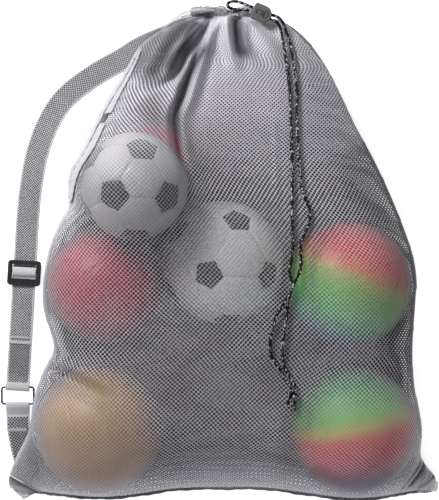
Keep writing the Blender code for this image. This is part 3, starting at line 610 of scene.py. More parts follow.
def hollow_shade(points):
    """0 to 1: how deep each point of the front panel lies in the shade of its folds."""
    shade = np.zeros(len(points))
    for line, width, strength in HOLLOWS:
        d, part = line_distance(points[:, 0], points[:, 1], metres(line))
        fade = np.clip(np.minimum(part / 0.1, (1 - part) / 0.25), 0, 1)
        shade = np.maximum(shade, strength * fade * np.exp(-(d / (width / 1000)) ** 2))
    return shade


def floor_shade(points):
    """The back panel is in the dark where it lies on the floor, under the balls."""
    return 0.97 - 0.4 * np.clip((points[:, 2] - 0.03) / 0.06, 0, 1)


def mouth_shade(points):
    """The hem is in the shade of its own left lobe, under its rim."""
    left = 1 - np.clip((points[:, 0] + 0.02) / 0.03, 0, 1)
    return (0.2 + 0.62 * left) * np.clip((HEM_CENTRE.y + 0.0055 - points[:, 1]) / 0.003, 0, 1)


# ---- materials
class Nodes:
    """A small builder of node trees."""

    def __init__(self, name):
        self.mat = bpy.data.materials.new(name)
        self.mat.use_nodes = True
        self.tree = self.mat.node_tree
        self.shader = self.tree.nodes["Principled BSDF"]

    def add(self, kind, **values):
        node = self.tree.nodes.new(kind)
        for key, value in values.items():
            if hasattr(node, key):
                setattr(node, key, value)
            else:
                node.inputs[key.replace("_", " ")].default_value = value
        return node

    def link(self, a, b):
        self.tree.links.new(a, b)

    def put(self, socket, value):
        """Link an output to a socket, or set its number or its colour."""
        if isinstance(value, bpy.types.NodeSocket):
            self.link(value, socket)
        elif isinstance(value, tuple):
            socket.default_value = (*value, 1.0)
        else:
            socket.default_value = value

    def coords(self, scale=(1, 1, 1)):
        where = self.add("ShaderNodeTexCoord")
        mapping = self.add("ShaderNodeMapping")
        mapping.inputs["Scale"].default_value = scale
        self.link(where.outputs["Object"], mapping.inputs["Vector"])
        return mapping.outputs["Vector"]

    def noise(self, scale, detail):
        node = self.add("ShaderNodeTexNoise", Scale=scale, Detail=detail)
        self.link(self.coords(), node.inputs["Vector"])
        return node.outputs["Fac"]

    def ramp(self, value, stops):
        node = self.add("ShaderNodeValToRGB")
        elements = node.color_ramp.elements
        while len(elements) < len(stops):
            elements.new(0.5)
        for element, (at, colour) in zip(elements, stops):
            element.position = at
            element.color = (*colour, 1.0)
        self.link(value, node.inputs["Fac"])
        return node.outputs["Color"]

    def math(self, operation, a, b, clamp=False):
        node = self.add("ShaderNodeMath", operation=operation, use_clamp=clamp)
        self.put(node.inputs[0], a)
        self.put(node.inputs[1], b)
        return node.outputs[0]

    def times(self, a, b):
        return self.math("MULTIPLY", a, b)

    def plus(self, a, b):
        return self.math("ADD", a, b)

    def mix(self, factor, a, b):
        node = self.add("ShaderNodeMix", data_type="RGBA")
        for k, value in ((0, factor), (6, a), (7, b)):
            self.put(node.inputs[k], value)
        return node.outputs[2]

    def finish(self, colour, rough, height=None, strength=0.0, distance=0.0, **inputs):
        """Colour, roughness, and bump where a height is given, into the shader."""
        self.link(colour, self.shader.inputs["Base Color"])
        self.put(self.shader.inputs["Roughness"], rough)
        if height is not None:
            bump = self.add("ShaderNodeBump", Strength=strength, Distance=distance)
            self.link(height, bump.inputs["Height"])
            self.link(bump.outputs["Normal"], self.shader.inputs["Normal"])
        for key, value in inputs.items():
            self.shader.inputs[key.replace("_", " ")].default_value = value
        return self.mat


def fabric(name, light, dark, yarn=0.0011, rough=0.62, sheen=0.25):
    """Polyester: fine yarn lines, a little unevenness of colour, and a soft sheen.

    Where a piece has a "shade" attribute, it takes the colour, the sheen and the gloss away.
    """
    n = Nodes(name)
    speckle = n.noise(900.0, 2.0)
    wave = n.add("ShaderNodeTexWave", Scale=1.0 / (yarn * 6.2832), Distortion=1.2, Detail=1.0)
    n.link(n.coords(), wave.inputs["Vector"])
    lines = wave.outputs["Fac"]
    tone = n.plus(n.times(n.noise(9.0, 4.0), 0.7), n.times(speckle, 0.3))
    colour = n.ramp(tone, [(0.3, dark), (0.68, light)])
    lined = n.mix(n.times(lines, 0.22), colour, tuple(0.72 * c for c in dark))
    shade = n.add("ShaderNodeAttribute", attribute_name="shade").outputs["Fac"]
    shaded = n.mix(shade, lined, tuple(0.1 * c for c in dark))
    height = n.plus(n.times(lines, 0.7), n.times(speckle, 0.5))
    roughness = n.plus(n.times(speckle, 0.2), rough - 0.1)
    lit = n.math("SUBTRACT", 1.0, shade, True)
    n.link(n.times(lit, sheen), n.shader.inputs["Sheen Weight"])
    n.link(n.times(lit, 0.5), n.shader.inputs["Specular IOR Level"])
    return n.finish(shaded, roughness, height, 0.45, 0.0003, Sheen_Roughness=0.5)


def plastic(name, colour, rough, grain=0.35, worn=(0.12, 0.12, 0.125)):
    """Moulded plastic with a fine spark-eroded grain and paler worn edges."""
    n = Nodes(name)
    broad = n.noise(60.0, 4.0)
    edge = n.add("ShaderNodeNewGeometry").outputs["Pointiness"]
    wear = n.math("MULTIPLY", n.math("SUBTRACT", edge, 0.53, True), 5.0, True)
    base = n.mix(n.times(broad, 0.35), colour, tuple(1.35 * c for c in colour))
    shaded = n.mix(n.times(wear, n.plus(broad, 0.2)), base, worn)
    roughness = n.plus(n.times(broad, 0.22), rough - 0.1)
    return n.finish(shaded, roughness, n.noise(1500.0, 2.0), grain, 0.0002)


def braid(name):
    """Black polyester cord with pale flecks, laid in a diamond braid."""
    n = Nodes(name)
    cells = n.add("ShaderNodeTexVoronoi", Scale=520.0)
    n.link(n.coords((1.0, 0.6, 1.0)), cells.inputs["Vector"])
    fleck = n.add("ShaderNodeSeparateColor")
    n.link(cells.outputs["Color"], fleck.inputs["Color"])
    colour = n.ramp(fleck.outputs["Red"], [
        (0.0, (0.0025, 0.0025, 0.003)), (0.79, (0.004, 0.004, 0.005)),
        (0.82, (0.3, 0.3, 0.32)), (1.0, (0.56, 0.56, 0.59))])
    height = n.math("SUBTRACT", 1.0, cells.outputs["Distance"])
    return n.finish(colour, 0.72, height, 0.5, 0.0004, Specular_IOR_Level=0.2)


BAND_SWIRL = 0.06         # how unevenly the bands of the banded balls run
SHADE_FROM = 0.98           # the height, in radii over a ball's middle, where the painted shade on its skin starts
SHADE_TO = 0.05             # and where the painted shade is deepest
# the colour that the painted shade darkens the balls' skins towards
PAINTED_SHADE = (0.03, 0.028, 0.031)


def skin(name, stops, ball, axis=None, rough=0.42, most_shade=0.88):
    """A ball's pebbled skin, with painted shade that darkens it low in the bag, by at most the share
    given.

    With an axis, (direction, distance of the ball's middle along it), its colours lie in bands.
    """
    n = Nodes(name)
    (_, _, middle), radius = BALLS[ball]
    grain = n.add("ShaderNodeTexVoronoi", Scale=420.0)
    n.link(n.coords(), grain.inputs["Vector"])
    value = n.noise(14.0, 4.0)
    if axis is not None:
        band = n.add("ShaderNodeVectorMath", operation="DOT_PRODUCT")
        n.link(n.coords(), band.inputs[0])
        band.inputs[1].default_value = tuple(axis[0])
        off = n.math("SUBTRACT", band.outputs["Value"], axis[1])
        swirl = n.times(n.math("SUBTRACT", value, 0.5), BAND_SWIRL)
        value = n.plus(n.plus(n.math("DIVIDE", off, 2 * radius), 0.5), swirl)
    dirt = n.noise(55.0, 5.0)
    shaded = n.mix(n.times(dirt, 0.12), n.ramp(value, stops), (0.2, 0.19, 0.18))
    # painted shade: the skin darkens from near its top down to its middle height and below, where the
    # bag shades it
    height = n.add("ShaderNodeSeparateXYZ")
    n.link(n.coords(), height.inputs[0])
    sunk = n.add("ShaderNodeMapRange", interpolation_type="SMOOTHSTEP")
    n.link(height.outputs["Z"], sunk.inputs["Value"])
    sunk.inputs["From Min"].default_value = middle + SHADE_FROM * radius
    sunk.inputs["From Max"].default_value = middle + SHADE_TO * radius
    sunk.inputs["To Max"].default_value = most_shade
    shaded_skin = n.mix(sunk.outputs["Result"], shaded, PAINTED_SHADE)
    roughness = n.plus(n.times(dirt, 0.25), rough - 0.1)
    return n.finish(shaded_skin, roughness, grain.outputs["Distance"], 0.25, 0.0004)


def metal(name):
    n = Nodes(name)
    broad = n.noise(240.0, 4.0)
    colour = n.ramp(broad, [(0.35, (0.03, 0.03, 0.034)), (0.7, (0.085, 0.085, 0.092))])
    return n.finish(colour, n.plus(n.times(broad, 0.25), 0.22), broad, 0.2, 0.0002, Metallic=0.85)


NET_MAT = fabric("net yarn", (0.7, 0.68, 0.745), (0.55, 0.53, 0.59), rough=0.6)
# the right and bottom bindings' tape, darker than the left binding's as painted shade along the bag's
# shaded edges
SHADED_BINDING_MAT = fabric("binding tape in painted shade", (0.15, 0.147, 0.162), (0.08, 0.078, 0.09), yarn=0.0007)
TAPE_MAT = fabric("plain facing tape", (0.43, 0.42, 0.45), (0.33, 0.325, 0.355), yarn=0.0007)
EDGE_MAT = fabric("folded edge", (0.64, 0.63, 0.67), (0.5, 0.49, 0.54), yarn=0.0007)
WEB_MAT = fabric("strap webbing", (0.7, 0.695, 0.72), (0.52, 0.515, 0.54), rough=0.66)
# a near-black sheet under the webbing: painted shade seen through its holes
HOLE_SHADE_MAT = fabric("painted shade in the webbing's holes", (0.026, 0.026, 0.029), (0.016, 0.016, 0.018))
THREAD_MAT = fabric("sewing thread", (0.58, 0.58, 0.61), (0.38, 0.38, 0.42), yarn=0.0005)
BLACK_MAT = plastic("slider plastic", (0.012, 0.012, 0.014), 0.34)
GREY_MAT = plastic("cord lock plastic", (0.088, 0.084, 0.085), 0.62, 0.6, (0.19, 0.185, 0.18))
SLIDE_MAT = plastic("thumb slide plastic", (0.01, 0.01, 0.011), 0.45)
RUBBER_MAT = plastic("valve rubber", (0.018, 0.018, 0.019), 0.7, 0.5)
RING_MAT = metal("blackened steel wire")
CORD_MAT = braid("braided cord")
DARK_MAT = fabric("shaded inside of the facing", (0.03, 0.03, 0.034), (0.014, 0.014, 0.017))

WHITE = [(0.25, (0.82, 0.82, 0.82)), (0.75, (0.9, 0.9, 0.9))]
OFF_WHITE = [(0.25, (0.54, 0.53, 0.525)), (0.75, (0.64, 0.63, 0.625))]
BLACK = [(0.25, (0.01, 0.01, 0.012)), (0.75, (0.022, 0.022, 0.026))]
RED = [(0.25, (0.46, 0.01, 0.03)), (0.75, (0.62, 0.022, 0.05))]
PINK = [(0.25, (0.44, 0.009, 0.045)), (0.75, (0.58, 0.022, 0.08))]
TAN = [(0.25, (0.46, 0.23, 0.03)), (0.75, (0.6, 0.33, 0.06))]


# ---- the balls
def icosahedron():
    """The directions of its twelve corners, and the five neighbours of each."""
    golden = (1 + math.sqrt(5)) / 2
    corners = []
    for a in (-1, 1):
        for b in (-golden, golden):
            corners += [(0, a, b), (a, b, 0), (b, 0, a)]
    corners = unit(np.array(corners, float))
    near = [[j for j in range(12) if j != i and corners[i].dot(corners[j]) > 0.4] for i in range(12)]
    return corners, near


def basis(a, b):
    a = unit(np.asarray(a, float))
    b = np.asarray(b, float)
    b = unit(b - a * a.dot(b))
    return np.stack([a, b, np.cross(a, b)])


def ball_panels(towards, second, share):
    """Each panel's corners, after 1 if it is black and 0 if it is white."""
    ico, near = icosahedron()
    ico = ico @ (basis(towards, second).T @ basis(ico[0], ico[near[0][0]])).T
    found = [(1, [ico[i] * (1 - share) + ico[j] * share for j in near[i]]) for i in range(12)]
    for i in range(12):
        for j in near[i]:
            for k in near[i]:
                if i < j < k and k in near[j]:
                    trio = [ico[i], ico[j], ico[k]]
                    found.append((0, [trio[a] * (1 - share) + trio[b] * share
                                      for a in range(3) for b in range(3) if a != b]))
    return found


# rings of a leather panel: share of the way from its middle to its edge, and its depth, in radii
PANEL_RINGS = [(0.22, 0.0), (0.45, 0.0), (0.68, 0.0), (0.86, 0.0012), (0.95, 0.007), (1.0, 0.018)]
PUFF = 0.004              # how far a panel's middle stands out, in radii
EDGE_STEPS = 5
LEATHER_FIT = 0.996       # keeps the puffed panels inside the ball's radius


def leather_ball(name, node, towards, second, share, whites):
    """A ball of 12 black and 20 white panels, with sunk seams.

    Two black panels' directions are given, and their share of the way from one middle to the next.
    """
    verts, faces, index = [], [], []
    for black, corners in ball_panels(towards, second, share):
        middle = np.mean(corners, axis=0)
        axis = unit(middle)
        a = unit(corners[0] - axis * axis.dot(corners[0]))
        b = np.cross(axis, a)
        corners = sorted(corners, key=lambda c: math.atan2(c.dot(b), c.dot(a)))
        edge = np.array([c + (d - c) * t / EDGE_STEPS
                         for c, d in zip(corners, corners[1:] + corners[:1]) for t in range(EDGE_STEPS)])
        count = len(edge)
        first = len(verts) + 1
        verts.append(axis * (1 + PUFF))
        for part, dip in PANEL_RINGS:
            verts += list(unit(middle + (edge - middle) * part) * (1 - dip + PUFF * (1 - part ** 2)))
        faces += [(first - 1, first + i, first + (i + 1) % count) for i in range(count)]
        for face in grid_faces(len(PANEL_RINGS), count, False, True):
            faces.append(tuple(first + k for k in face[::-1]))
        index += [black] * count * len(PANEL_RINGS)
    centre, radius = BALLS[node]
    verts = np.asarray(centre) + np.array(verts) * radius * LEATHER_FIT
    white = skin(name + " white panels", whites, node, rough=0.38, most_shade=0.5)
    dark = skin(name + " black panels", BLACK, node, rough=0.4)
    obj = place(name, verts, faces, [white, dark], index=index)
    weld = obj.modifiers.new("seams", "WELD")
    weld.merge_threshold = 0.00005
    return obj


RIBS = 8                  # moulded lines from pole to pole
GROOVE_WIDE = 0.02        # their width and depth, in radii
GROOVE_DEEP = 0.012


def rubber_ball(name, centre, radius, axis, mat):
    """A moulded playground ball, with sunk lines from pole to pole and round its waist."""
    centre = np.asarray(centre)
    axis = unit(np.asarray(axis, float))
    a = unit(np.cross(axis, (0.3, 0.2, 1.0)))
    b = np.cross(axis, a)
    rings, sides = 72, 144
    polar = np.linspace(0, math.pi, rings + 1)[1:-1]
    turn = np.arange(sides) * 2 * math.pi / sides
    pp, tt = np.meshgrid(polar, turn, indexing="ij")
    off = np.abs(np.mod(tt * RIBS / (2 * math.pi) + 0.5, 1) - 0.5) * 2 * math.pi / RIBS * np.sin(pp)
    groove = np.exp(-(off / GROOVE_WIDE) ** 2) * np.clip(np.sin(pp) * 4 - 0.5, 0, 1)
    groove = np.maximum(groove, np.exp(-((pp - math.pi / 2) / GROOVE_WIDE) ** 2))
    r = radius * (1 - GROOVE_DEEP * groove)
    way = (np.cos(pp)[..., None] * axis + (np.sin(pp) * np.cos(tt))[..., None] * a
           + (np.sin(pp) * np.sin(tt))[..., None] * b)
    verts = centre + (r[..., None] * way).reshape(-1, 3)
    verts = np.concatenate([verts, [centre + axis * radius, centre - axis * radius]])
    faces = grid_faces(rings - 1, sides, False, True)
    top, low, last = len(verts) - 2, len(verts) - 1, (rings - 2) * sides
    for i in range(sides):
        j = (i + 1) % sides
        faces.append((j, i, top))
        faces.append((last + i, last + j, low))
    return place(name, verts, faces, mat)


def bands(name, ball, direction, stops):
    way = Vector(direction).normalized()
    return skin(name, stops, ball, (way, way.dot(Vector(BALLS[ball][0]))))


def balls():
    made = {
        "ball_soccer_low": leather_ball(
            "leather_ball_low", "ball_soccer_low",
            (-0.229, -0.199, 0.953), (0.782, -0.215, 0.585), 0.25, WHITE),
        "ball_soccer_top": leather_ball(
            "leather_ball_top", "ball_soccer_top",
            (-0.35, -0.185, 0.917), (0.22, 0.74, 0.635), 0.31, OFF_WHITE),
    }
    mid = bands("banded rubber, middle", "ball_rainbow_mid", (0.38, 0.92, 0.05), [
        (0.03, (0.02, 0.12, 0.48)), (0.13, (0.01, 0.38, 0.28)), (0.27, (0.01, 0.54, 0.07)),
        (0.45, (0.16, 0.6, 0.02)), (0.57, (0.42, 0.52, 0.02)), (0.66, (0.86, 0.2, 0.02)),
        (0.76, (0.84, 0.03, 0.03))])
    low = bands("banded rubber, low", "ball_rainbow_low", (-0.19, 0.97, 0.12), [
        (0.08, (0.08, 0.02, 0.2)), (0.2, (0.34, 0.01, 0.08)), (0.36, (0.8, 0.02, 0.03)),
        (0.5, (0.88, 0.09, 0.03)), (0.59, (0.64, 0.52, 0.03)), (0.68, (0.17, 0.62, 0.03)),
        (0.9, (0.02, 0.42, 0.08))])
    for node, name, axis, mat in (
        ("ball_red", "rubber_ball_red", (0.3, 0.5, 0.6), skin("red rubber", RED, "ball_red")),
        ("ball_pink", "rubber_ball_pink", (0.6, -0.2, 0.5), skin("pink rubber", PINK, "ball_pink")),
        ("ball_yellow", "rubber_ball_yellow", (-0.4, 0.5, 0.5), skin("tan rubber", TAN, "ball_yellow")),
        ("ball_rainbow_mid", "rubber_ball_banded_mid", (0.7, 0.3, 0.4), mid),
        ("ball_rainbow_low", "rubber_ball_banded_low", (-0.6, 0.4, 0.4), low),
    ):
        made[node] = rubber_ball(name, *BALLS[node], axis, mat)
    for node, obj in made.items():
        belong(obj, "bag", node)


# ---- strap, tab, slider and ring
def on_strap(up, height):
    return np.array(STRAP_FOOT + STRAP_UP * up + Vector((0, 0, height)))


def across_plan(path):
    ahead = np.gradient(path, axis=0)
    return unit(np.stack([ahead[:, 1], -ahead[:, 0], np.zeros(len(path))], axis=-1))


HOLE_WEB = 0.73           # a hole's radius in the webbing, in half cells
HOLE_PLAIN = 0.1          # and where it is woven plain: in the stated stretches and its selvedges
WEB_STEP = 0.001


def ribbon(name, path, sides, plain, cell=WEB_CELL):
    """Perforated webbing along a path. plain lists the stretches along it woven without holes."""
    s = distances(path)
    wanted = np.linspace(0, s[-1], max(3, round(s[-1] / WEB_STEP) + 1))
    path = spread(s, wanted, path)[:, None]
    sides = unit(spread(s, wanted, sides))[:, None]
    across = np.linspace(-WEB_WIDTH / 2, WEB_WIDTH / 2, 21)

    def hole(p, q):
        size = np.full(p.shape, HOLE_WEB)
        for start, end in plain:
            size = np.where((q > start) & (q < end), HOLE_PLAIN, size)
        return np.where(np.abs(p) > WEB_WIDTH / 2 - 0.7 * cell, HOLE_PLAIN, size)

    cloth = Cloth(path + sides * across[None, :, None])
    obj = knit(name, cloth, cell, WEB_MAT, hole, relief=0.5, wander=0.03, thick=WEB_THICK)
    # a near-black sheet just under the webbing: painted shade in its holes
    narrow = path + sides * (across * 0.97)[None, :, None]
    hole_shade = place(name + "_hole_shade", narrow.reshape(-1, 3), grid_faces(*narrow.shape[:2]), HOLE_SHADE_MAT)
    thicken(hole_shade, 0.0002)
    hole_shade.parent = obj
    return obj


def webbing(name, path, sides, plain, body, node, cell=WEB_CELL):
    """A run of webbing, riding on its body in place of its CAD node."""
    obj = ribbon(name, path, sides, plain, cell)
    belong(obj, body, node)


def bend_up(start, reach, low, high, count=9):
    """Side view of webbing turned round a bar: (along, height) pairs from the floor layer to the top."""
    middle, half = (low + high) / 2, (high - low) / 2
    turns = [math.pi * k / count for k in range(1, count)]
    return [(start - reach * math.sin(a), middle - half * math.cos(a)) for a in turns]


def shoulder_strap():
    """From under the mouth down to the ring, round its upper bar and a little way back."""
    curve = [(x, y, LAYER_1) for x, y in STRAP_CURVE]
    curve += [tuple(on_strap(s, LAYER_1)) for s in (0.3, 0.24)]
    path = smooth_line(curve, LINE_STEP)
    path = np.concatenate([path, [on_strap(s, LAYER_1) for s in np.arange(0.235, 0.0, -0.005)]])
    sides = across_plan(path)
    count = len(path)
    back = bend_up(-0.001, 0.0052, LAYER_1, LAYER_BAR)
    back += [(0.0, LAYER_BAR), (0.005, 0.009), (0.012, 0.0058), (0.019, 0.003)]
    back += [(s, LAYER_2) for s in np.arange(0.026, 0.1251, 0.006)]
    path = np.concatenate([path, [on_strap(s, z) for s, z in back]])
    straight = -np.array(STRAP_SIDE)
    sides = np.concatenate([sides, np.repeat(straight[None], len(path) - count, axis=0)])
    at_ring = length_of(path[:count])
    total = length_of(path)
    plain = [(0.0, 0.03), (at_ring - 0.016, at_ring + 0.03), (total - 0.008, total)]
    webbing("strap_ribbon", path, sides, plain, "bag", "strap_webbing")


def slider_end():
    """The end sewn round the slider's middle bar."""
    rise = [(s, LAYER_3) for s in np.arange(-0.124, -0.011, 0.006)] + [
        (-0.01, LAYER_3), (-0.007, 0.0044), (-0.0052, 0.0062), (-0.0035, 0.0082), (-0.001, 0.0094),
        (0.0025, 0.0097), (0.006, 0.0094), (0.0085, 0.0082), (0.0102, 0.0062), (0.0092, 0.0044),
        (0.0065, 0.0038), (0.001, 0.0037)]
    path = np.array([on_strap(SLIDER_AT + s, z) for s, z in rise])
    sides = np.repeat(np.array(STRAP_SIDE)[None], len(path), axis=0)
    webbing("slider_ribbon", path, sides, [(0.0, 0.006), (0.106, 0.2)],
            "slider", "slider_webbing_end")


def corner_tab():
    """Doubled through the ring's lower bar, both ends in the bag's left corner."""
    x, y = RING_CENTRE.x, RING_CENTRE.y - RING_HALF[1]
    route = [(x, y - 0.024, 0), (x + 0.001, y - 0.042, 0), (x + 0.0065, y - 0.072, 0), tuple(TAB_END)]
    plan = smooth_line(route, LINE_STEP)
    across = across_plan(plan)
    under = plan[::-1] + np.array((0, 0, LAYER_1))
    over = plan + np.array((0, 0, LAYER_2))
    turn = [(0.01, LAYER_1), (0.001, LAYER_1)] + bend_up(0.001, 0.0052, LAYER_1, LAYER_BAR)
    turn += [(0.001, LAYER_BAR), (0.006, 0.0088), (0.012, 0.0056), (0.018, 0.0029)]
    path = np.concatenate([under, [(x, y - down, height) for down, height in turn], over])
    aside = np.repeat(np.array([[1.0, 0.0, 0.0]]), len(turn), axis=0)
    sides = np.concatenate([-across[::-1], aside, -across])
    first = length_of(under)
    webbing("tab_ribbon", path, sides, [(first - 0.004, first + 0.062)],
            "bag", "corner_tab", TAB_CELL)


def rounded_rectangle(half_x, half_y, radius, steps):
    points = []
    for cx, cy, start in ((1, 1, 0), (-1, 1, 90), (-1, -1, 180), (1, -1, 270)):
        for k in range(steps + 1):
            a = math.radians(start + 90 * k / steps)
            points.append((cx * (half_x - radius) + radius * math.cos(a),
                           cy * (half_y - radius) + radius * math.sin(a)))
    return points


def ring_piece():
    outline = rounded_rectangle(*RING_HALF, 0.004, 6)
    dense = []
    for (ax, ay), (bx, by) in zip(outline, outline[1:] + outline[:1]):
        steps = max(1, round(math.hypot(bx - ax, by - ay) / 0.002))
        dense += [(ax + (bx - ax) * k / steps, ay + (by - ay) * k / steps) for k in range(steps)]
    path = np.array([(RING_CENTRE.x + x, RING_CENTRE.y + y, RING_CENTRE.z) for x, y in dense])
    ring = rope("ring_wire", path, RING_WIRE / 2, RING_MAT, 14, relief=0.0, closed=True)
    belong(ring, "ring", "strap_ring")


# ---- cords
KNOT_CORD = 0.0027        # the radius of the cord in the knot, drawn tight


def cord_pieces():
    tails = []
    for name, route, node in (
        ("cord_tail_long", TAIL_LONG, "drawcord_tail_long"),
        ("cord_tail_short", TAIL_SHORT, "drawcord_tail_short"),
    ):
        tails.append(rope(name, smooth_line(route, 0.0007), CORD / 2, CORD_MAT))
        belong(tails[-1], "bag", node)

    t = np.linspace(0, 2 * math.pi, 121)[:-1]
    reach = [size / 2 - KNOT_CORD for size in KNOT_SIZE]
    trefoil = np.stack([
        KNOT_CENTRE.x + reach[0] / 2.7 * (np.sin(t) + 2 * np.sin(2 * t)),
        KNOT_CENTRE.y + reach[1] / 3.0 * (np.cos(t) - 2 * np.cos(2 * t)),
        KNOT_CENTRE.z - reach[2] * np.sin(3 * t),
    ], axis=-1)
    knot = rope("cord_knot", trefoil, KNOT_CORD, CORD_MAT, closed=True)
    belong(knot, "bag", "drawcord_knot")

    for name, route, node, pieces in (
        ("cord_strand_right", STRAND_RIGHT, "drawcord_strand_right",
         [knot, tails[0], "cord_lock_body", "cord_lock_thumb_slide"]),
        ("cord_strand_left", STRAND_LEFT, "drawcord_strand_left", [tails[1]]),
    ):
        path = smooth_line(route, 0.0009)
        strand = rope(name, path, CORD / 2, CORD_MAT)
        belong(strand, "bag", node)


def lock_relief():
    """The raised hook moulded on the lock's face, beside the thumb slide."""
    side = Vector((-LOCK_AXIS.y, LOCK_AXIS.x, 0))
    face = LOCK_CENTRE + Vector((0, 0, LOCK_THICK / 2 + 0.0001))
    turns = np.radians(np.linspace(-150, 110, 40))
    path = [face + LOCK_AXIS * (0.0065 + 0.0042 * math.cos(a)) + side * 0.0058 * math.sin(a)
            for a in turns]
    obj = rope("lock_hook_relief", np.array(path), 0.0008, SLIDE_MAT, 10, relief=0.0)
    belong(obj, "cord_lock")


# ---- camera, light and floor
def camera():
    data = bpy.data.cameras.new("camera")
    data.lens = 169.4
    data.sensor_width = 36.0
    cam = bpy.data.objects.new("camera", data)
    cam.location = (-0.0005, 0.00425, 4.1)
    bpy.context.scene.collection.objects.link(cam)
    bpy.context.scene.camera = cam


def area_light(name, location, target, size, power, colour=(1, 1, 1)):
    data = bpy.data.lights.new(name, "AREA")
    data.size = size
    data.energy = power
    data.color = colour
    light = bpy.data.objects.new(name, data)
    light.location = location
    way = Vector(target) - Vector(location)
    light.rotation_mode = "QUATERNION"
    light.rotation_quaternion = way.to_track_quat("-Z", "Y")
    bpy.context.scene.collection.objects.link(light)


FLOOR_HALF = 14.0
FLOOR_DEPTH = -0.0004


def studio():
    area_light("key", (-1.1, 1.5, 1.5), (0, 0, 0.1), 0.8, 57)
    area_light("fill", (0.3, -2.1, 2.0), (0, 0, 0.1), 1.8, 18, (0.92, 0.94, 1.0))
    bpy.context.scene.view_settings.view_transform = "Standard"
    world = bpy.data.worlds.new("studio")
    bpy.context.scene.world = world
    world.use_nodes = True
    background = world.node_tree.nodes["Background"]
    background.inputs["Color"].default_value = (1.0, 1.0, 1.0, 1.0)
    background.inputs["Strength"].default_value = 0.22
    n = Nodes("pale floor")
    tone = n.ramp(n.noise(2.0, 2.0), [(0.0, (0.94, 0.94, 0.94)), (1.0, (0.97, 0.97, 0.97))])
    n.finish(tone, 0.9, Emission_Color=(1.0, 1.0, 1.0, 1.0), Emission_Strength=0.75)
    corners = [(x * FLOOR_HALF, y * FLOOR_HALF, FLOOR_DEPTH)
               for x, y in ((-1, -1), (1, -1), (1, 1), (-1, 1))]
    place("floor", corners, [(0, 1, 2, 3)], n.mat, smooth=False)


# ---- hem, seams, ears and facing
def hem():
    """The gathered tunnel round the mouth, knitted like the panels and pinched into small pleats."""
    start, end = (math.acos((x - HEM_CENTRE.x) / HEM_HALF[0]) for x in HEM_GAP_X)
    turns = np.linspace(start, end + 2 * math.pi, 340)
    path = np.stack([
        HEM_CENTRE.x + HEM_HALF[0] * np.cos(turns),
        np.full_like(turns, HEM_CENTRE.y),
        HEM_CENTRE.z + HEM_HALF[1] * np.sin(turns),
    ], axis=-1)
    side = np.repeat(np.array([[0.0, 1.0, 0.0]]), len(path), axis=0)
    out = np.cross(unit(np.gradient(path, axis=0)), side)
    a = np.linspace(-math.pi / 2, 3 * math.pi / 2, 41)
    pleat = np.sin(19 * turns + 1.8 * np.sin(5 * turns))[:, None] * (0.7 + 0.3 * np.cos(a)[None])
    pleat = pleat + 0.4 * np.sin(43 * turns + 2.2 * np.sin(3 * turns))[:, None]
    radius = HEM_RADIUS + 0.0015 * pleat
    skirt = np.where(np.cos(a) < 0, 1.9, 0.95)
    grid = section(path, side, out, radius * skirt * np.cos(a), radius * np.sin(a))
    cloth = Cloth(grid.transpose(1, 0, 2), np.full(41, 1.6))
    obj = knit("hem_ruffle", cloth, SMALL_CELL, NET_MAT, hole=0.52, relief=1.0)
    set_shade(obj, mouth_shade)
    belong(obj, "bag", "hem_channel")


def mouth_lobe():
    """The rim of the cloth left of the mouth, rolled over and standing clear of the folds."""
    rim = smooth_line([(-0.101, 0.387, 0.056), (-0.0763, 0.4052, 0.056), (-0.0588, 0.416, 0.053),
                       (-0.0324, 0.4205, 0.05), (-0.0078, 0.419, 0.044)], 0.002)
    side = -across_plan(rim)
    part = np.linspace(0, 1, len(rim))[:, None]
    radius = 0.0014 + 0.0034 * np.sin(math.pi * part) ** 0.6 + 0.0004 * np.sin(part * 26)
    a = np.radians(np.linspace(-70, 215, 31))
    up = np.array([[0.0, 0.0, 1.0]])
    grid = section(rim - side * radius, side, up, radius * np.cos(a), 0.85 * radius * np.sin(a))
    obj = knit("mouth_lobe", Cloth(grid), SMALL_CELL, NET_MAT, hole=0.52, relief=1.0)
    belong(obj, "bag")
    return obj


TAPE_STEP = 0.0025        # between the rings of a binding
TAPE_HALF = (0.0028, 0.0022)  # its half width and half thickness


def tape(name, points, outward, node, mat):
    """A ribbed binding round the panels' edge, a little uneven."""
    path = smooth_line(points, TAPE_STEP)[2:-2]
    side = across_plan(path) * outward
    s = np.arange(len(path)) * TAPE_STEP
    out = 0.0024 + 0.0006 * np.sin(s * 95) + 0.0004 * np.sin(s * 260)
    up = np.cross(side, unit(np.gradient(path, axis=0)))
    up = up * np.sign(up[:, 2:3] + 1e-9)
    a = np.arange(12) * 2 * math.pi / 12
    rib = 1 + 0.1 * np.sin(s * 1900)[:, None]
    aside = np.repeat(TAPE_HALF[0] * np.cos(a)[None], len(path), axis=0)
    rise = rib * TAPE_HALF[1] * np.sign(np.sin(a)) * np.abs(np.sin(a)) ** 0.7
    obj = tube(name, section(path + side * out[:, None], side, up, aside, rise), mat)
    belong(obj, "bag", node)


def height_on(cloth, x, y):
    """The net's height nearest to (x, y), and how far off that is in plan."""
    d = np.hypot(cloth.grid[..., 0] - x, cloth.grid[..., 1] - y)
    return float(cloth.grid[..., 2].flat[d.argmin()]), float(d.min())


ON_NET = 0.004            # nearer than this in plan, a point counts as over the net


